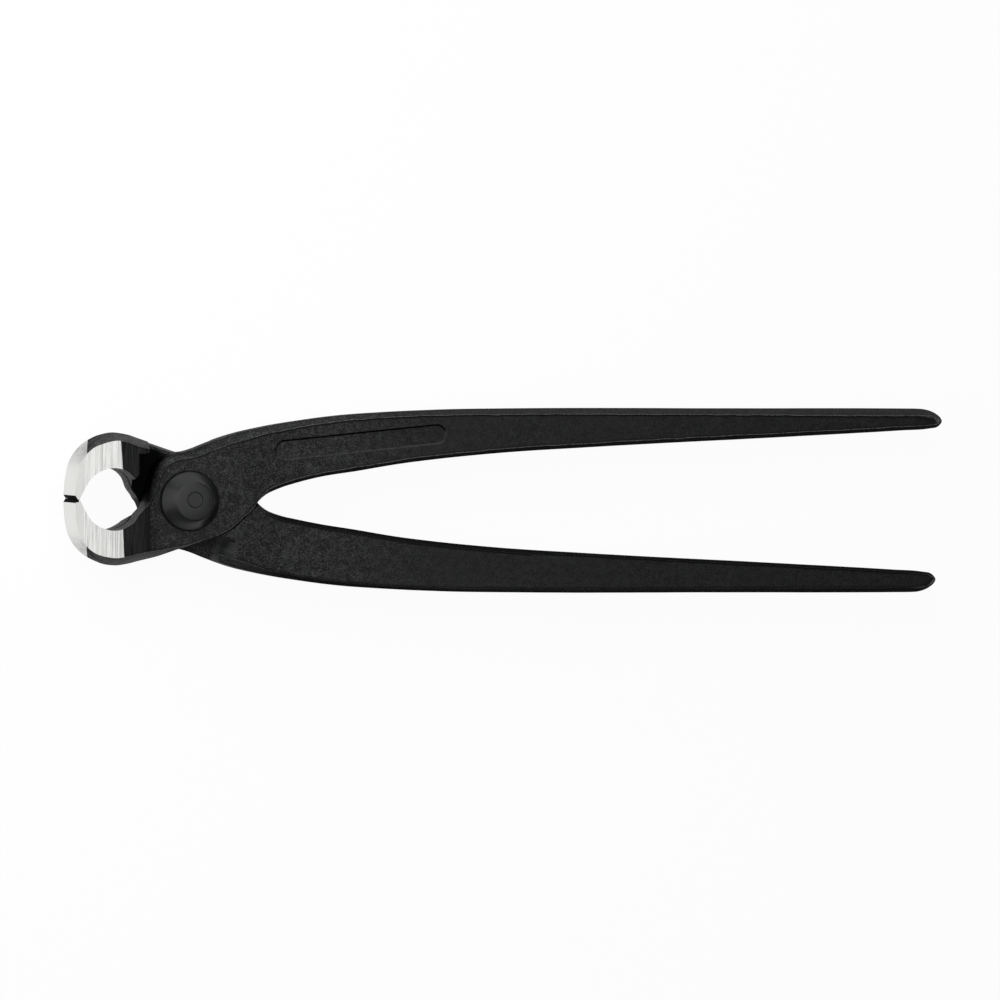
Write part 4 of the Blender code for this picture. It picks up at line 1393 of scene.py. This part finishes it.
def is_ground(face, offset, seen_side):
    """Whether a face of a lever belongs to its bright ground jaw."""
    x, y, z = face.center
    from_middle = abs(y - offset)
    if x < -GROOVE_WALL_REACH and from_middle < GROOVE_HALF_HEIGHT:
        return False
    if x < -EDGE_ROUNDING_REACH and from_middle < EDGE_ROUNDING_HEIGHT:
        return False
    if abs(face.normal.z) > FLAT_NORMAL and abs(z) > FLAT_LEVEL:
        return x < border_x(NEAR_BORDER if z > 0 else FAR_BORDER, y)
    return x + GROUND_WALL_SLANT * seen_side * z < -GROUND_WALL_REACH


for item, offset, seen_side in ((front, MEETING_OFFSET, 1), (rear, -MEETING_OFFSET, -1)):
    item.data.materials.append(oxide)
    item.data.materials.append(steel)
    ground = 0
    for face in item.data.polygons:
        if is_ground(face, offset, seen_side):
            face.material_index = 1
            ground += 1
    print(item.name, "has", ground, "ground faces")

# %% [markdown]
# ## Black oxide on the rivet
# The rivet was pressed from drawn bar and blackened with the levers, so it is smoother
# and shinier than they are, and a little lighter. Its colour is slightly cloudy where the
# oil dried, and the press leaves faint rings. Both are too fine to model, so noise gives
# the clouds and a wave pattern the rings.

# %% Material of the rivet
PRESS_RING_WIDTH = 0.5
RIVET_DARK = "#121314"
RIVET_LIGHT = "#1c1d1e"


def pressed_oxide(name):
    """Black oxide over smooth pressed steel."""
    material, tree, shader = new_material(name, 0.0, 0.3, 0.40)
    mm = place_in_mm(tree)[1]
    cloud = add_node(tree, "ShaderNodeTexNoise",
                     {"Scale": 0.7, "Detail": 4.0, "Roughness": 0.6}, {"Vector": mm})
    fine = add_node(tree, "ShaderNodeTexNoise",
                    {"Scale": 2.6, "Detail": 2.0, "Roughness": 0.5}, {"Vector": mm})
    rings = add_node(tree, "ShaderNodeTexWave",
                     {"wave_type": "RINGS", "rings_direction": "Z",
                      "Scale": 1 / PRESS_RING_WIDTH / 6.28, "Distortion": 1.4, "Detail": 2.0},
                     {"Vector": mm})
    shade = add_node(tree, "ShaderNodeMapRange", {"From Min": 0.3, "From Max": 0.7},
                     {"Value": cloud})
    colour = add_node(tree, "ShaderNodeMix",
                      {"data_type": "RGBA", MIX_FIRST: paint(RIVET_DARK),
                       MIX_SECOND: paint(RIVET_LIGHT)}, {0: shade})
    height = add_node(tree, "ShaderNodeMath", {"operation": "MULTIPLY_ADD", 1: 0.2},
                      {0: rings, 2: fine})
    bump = add_node(tree, "ShaderNodeBump", {"Strength": 0.5, "Distance": 0.01 * MM},
                    {"Height": height})
    gloss = add_node(tree, "ShaderNodeMapRange", {"To Min": 0.30, "To Max": 0.38},
                     {"Value": cloud})
    tree.links.new(colour.outputs[MIX_COLOUR], shader.inputs["Base Color"])
    tree.links.new(gloss.outputs[0], shader.inputs["Roughness"])
    tree.links.new(bump.outputs[0], shader.inputs["Normal"])
    return material


rivet_black = pressed_oxide("black_oxide_rivet")
pin.data.materials.append(rivet_black)
print("finish:", rivet_black.name)

# %% [markdown]
# ## Put the pieces on their bodies
# The rivet turns with the rear lever, and the front lever turns on it. Each fine piece
# stands for one of the frame's solids, which stays in the model for collision.

# %% Ride and replace
for piece, body, node, slot in (
    (front, "front", "front_lever", "front_forging"),
    (rear, "rear", "rear_lever", "rear_forging"),
    (pin, "rear", "rivet", "rivet_steel"),
):
    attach(piece, body)
    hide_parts(node)
print("pieces placed:", front.name, rear.name, pin.name)

# %% [markdown]
# ## Floor and light
# The tool lies on a white sheet. One wide soft lamp hangs over it on the left, a long one
# stands beyond the upper handle and a third beyond the jaws. Black steel shows mostly what
# it mirrors, so the lamps' edges decide where the levers turn darker. The sheet is lit
# white for the camera and for reflections, and still keeps a faint shadow.

# %% Floor
FLOOR_HALF = 6.0
FLOOR_DROP = 0.3 * MM
FLOOR_LIT_SHARE = 0.93
PAPER_WHITE = "#f4f4f4"
PAPER_GLOW = 1.02
floor_mesh = bpy.data.meshes.new("floor")
floor_mesh.from_pydata(
    [(-FLOOR_HALF, -FLOOR_HALF, 0), (FLOOR_HALF, -FLOOR_HALF, 0),
     (FLOOR_HALF, FLOOR_HALF, 0), (-FLOOR_HALF, FLOOR_HALF, 0)], [], [(0, 1, 2, 3)])
floor = new_object("floor", floor_mesh)
floor.location.z = -FLOOR_DROP
floor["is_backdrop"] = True

material = bpy.data.materials.new("white_paper")
material.use_nodes = True
tree = material.node_tree
tree.nodes.clear()
ray = add_node(tree, "ShaderNodeLightPath")
seen = add_node(tree, "ShaderNodeMath", {"operation": "ADD", "use_clamp": True},
                {0: ray.outputs["Is Camera Ray"], 1: ray.outputs["Is Glossy Ray"]})
seen = add_node(tree, "ShaderNodeMath", {"operation": "ADD", "use_clamp": True},
                {0: seen, 1: ray.outputs["Is Transmission Ray"]})
share = add_node(tree, "ShaderNodeMath", {"operation": "MULTIPLY", 1: FLOOR_LIT_SHARE},
                 {0: seen})
paper = add_node(tree, "ShaderNodeBsdfDiffuse", {"Color": paint(PAPER_WHITE)})
glow = add_node(tree, "ShaderNodeEmission", {"Color": (1, 1, 1, 1), "Strength": PAPER_GLOW})
surface = add_node(tree, "ShaderNodeMixShader", None, {0: share, 1: paper, 2: glow})
add_node(tree, "ShaderNodeOutputMaterial", None, {"Surface": surface})
floor.data.materials.append(material)
print("floor at", floor.location.z / MM, "mm")

# %% Lamps
WORLD_LIGHT = 0.12
# Name, place and aim in metres, width and length of the face, and its brightness.
LAMPS = (
    ("key", (-0.42, 0.22, 0.40), (-0.42, 0.22, 0.0), (0.9, 0.6), 1.6),
    ("far_side", (0.0, 1.1, 0.30), (0.0, 0.0, 0.10), (2.2, 0.6), 1.1),
    ("left", (-1.1, 0.1, 0.30), (0.0, 0.0, 0.10), (1.2, 0.6), 0.95),
)
world = bpy.data.worlds.new("studio")
world.use_nodes = True
bpy.context.scene.world = world
background = world.node_tree.nodes["Background"]
background.inputs["Color"].default_value = (1, 1, 1, 1)
background.inputs["Strength"].default_value = WORLD_LIGHT


def softbox(name, place, aim, size, radiance):
    """A rectangular lamp with an even face, turned towards a point."""
    lamp = bpy.data.lights.new(name, "AREA")
    lamp.shape = "RECTANGLE"
    lamp.size, lamp.size_y = size
    lamp.energy = radiance * math.pi * size[0] * size[1]
    item = bpy.data.objects.new(name, lamp)
    bpy.context.scene.collection.objects.link(item)
    item.location = place
    item.rotation_euler = (Vector(aim) - Vector(place)).to_track_quat("-Z", "Y").to_euler()
    return item


for lamp in LAMPS:
    softbox(*lamp)
bpy.context.scene.view_settings.view_transform = "Standard"

# %% Measure
low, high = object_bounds()
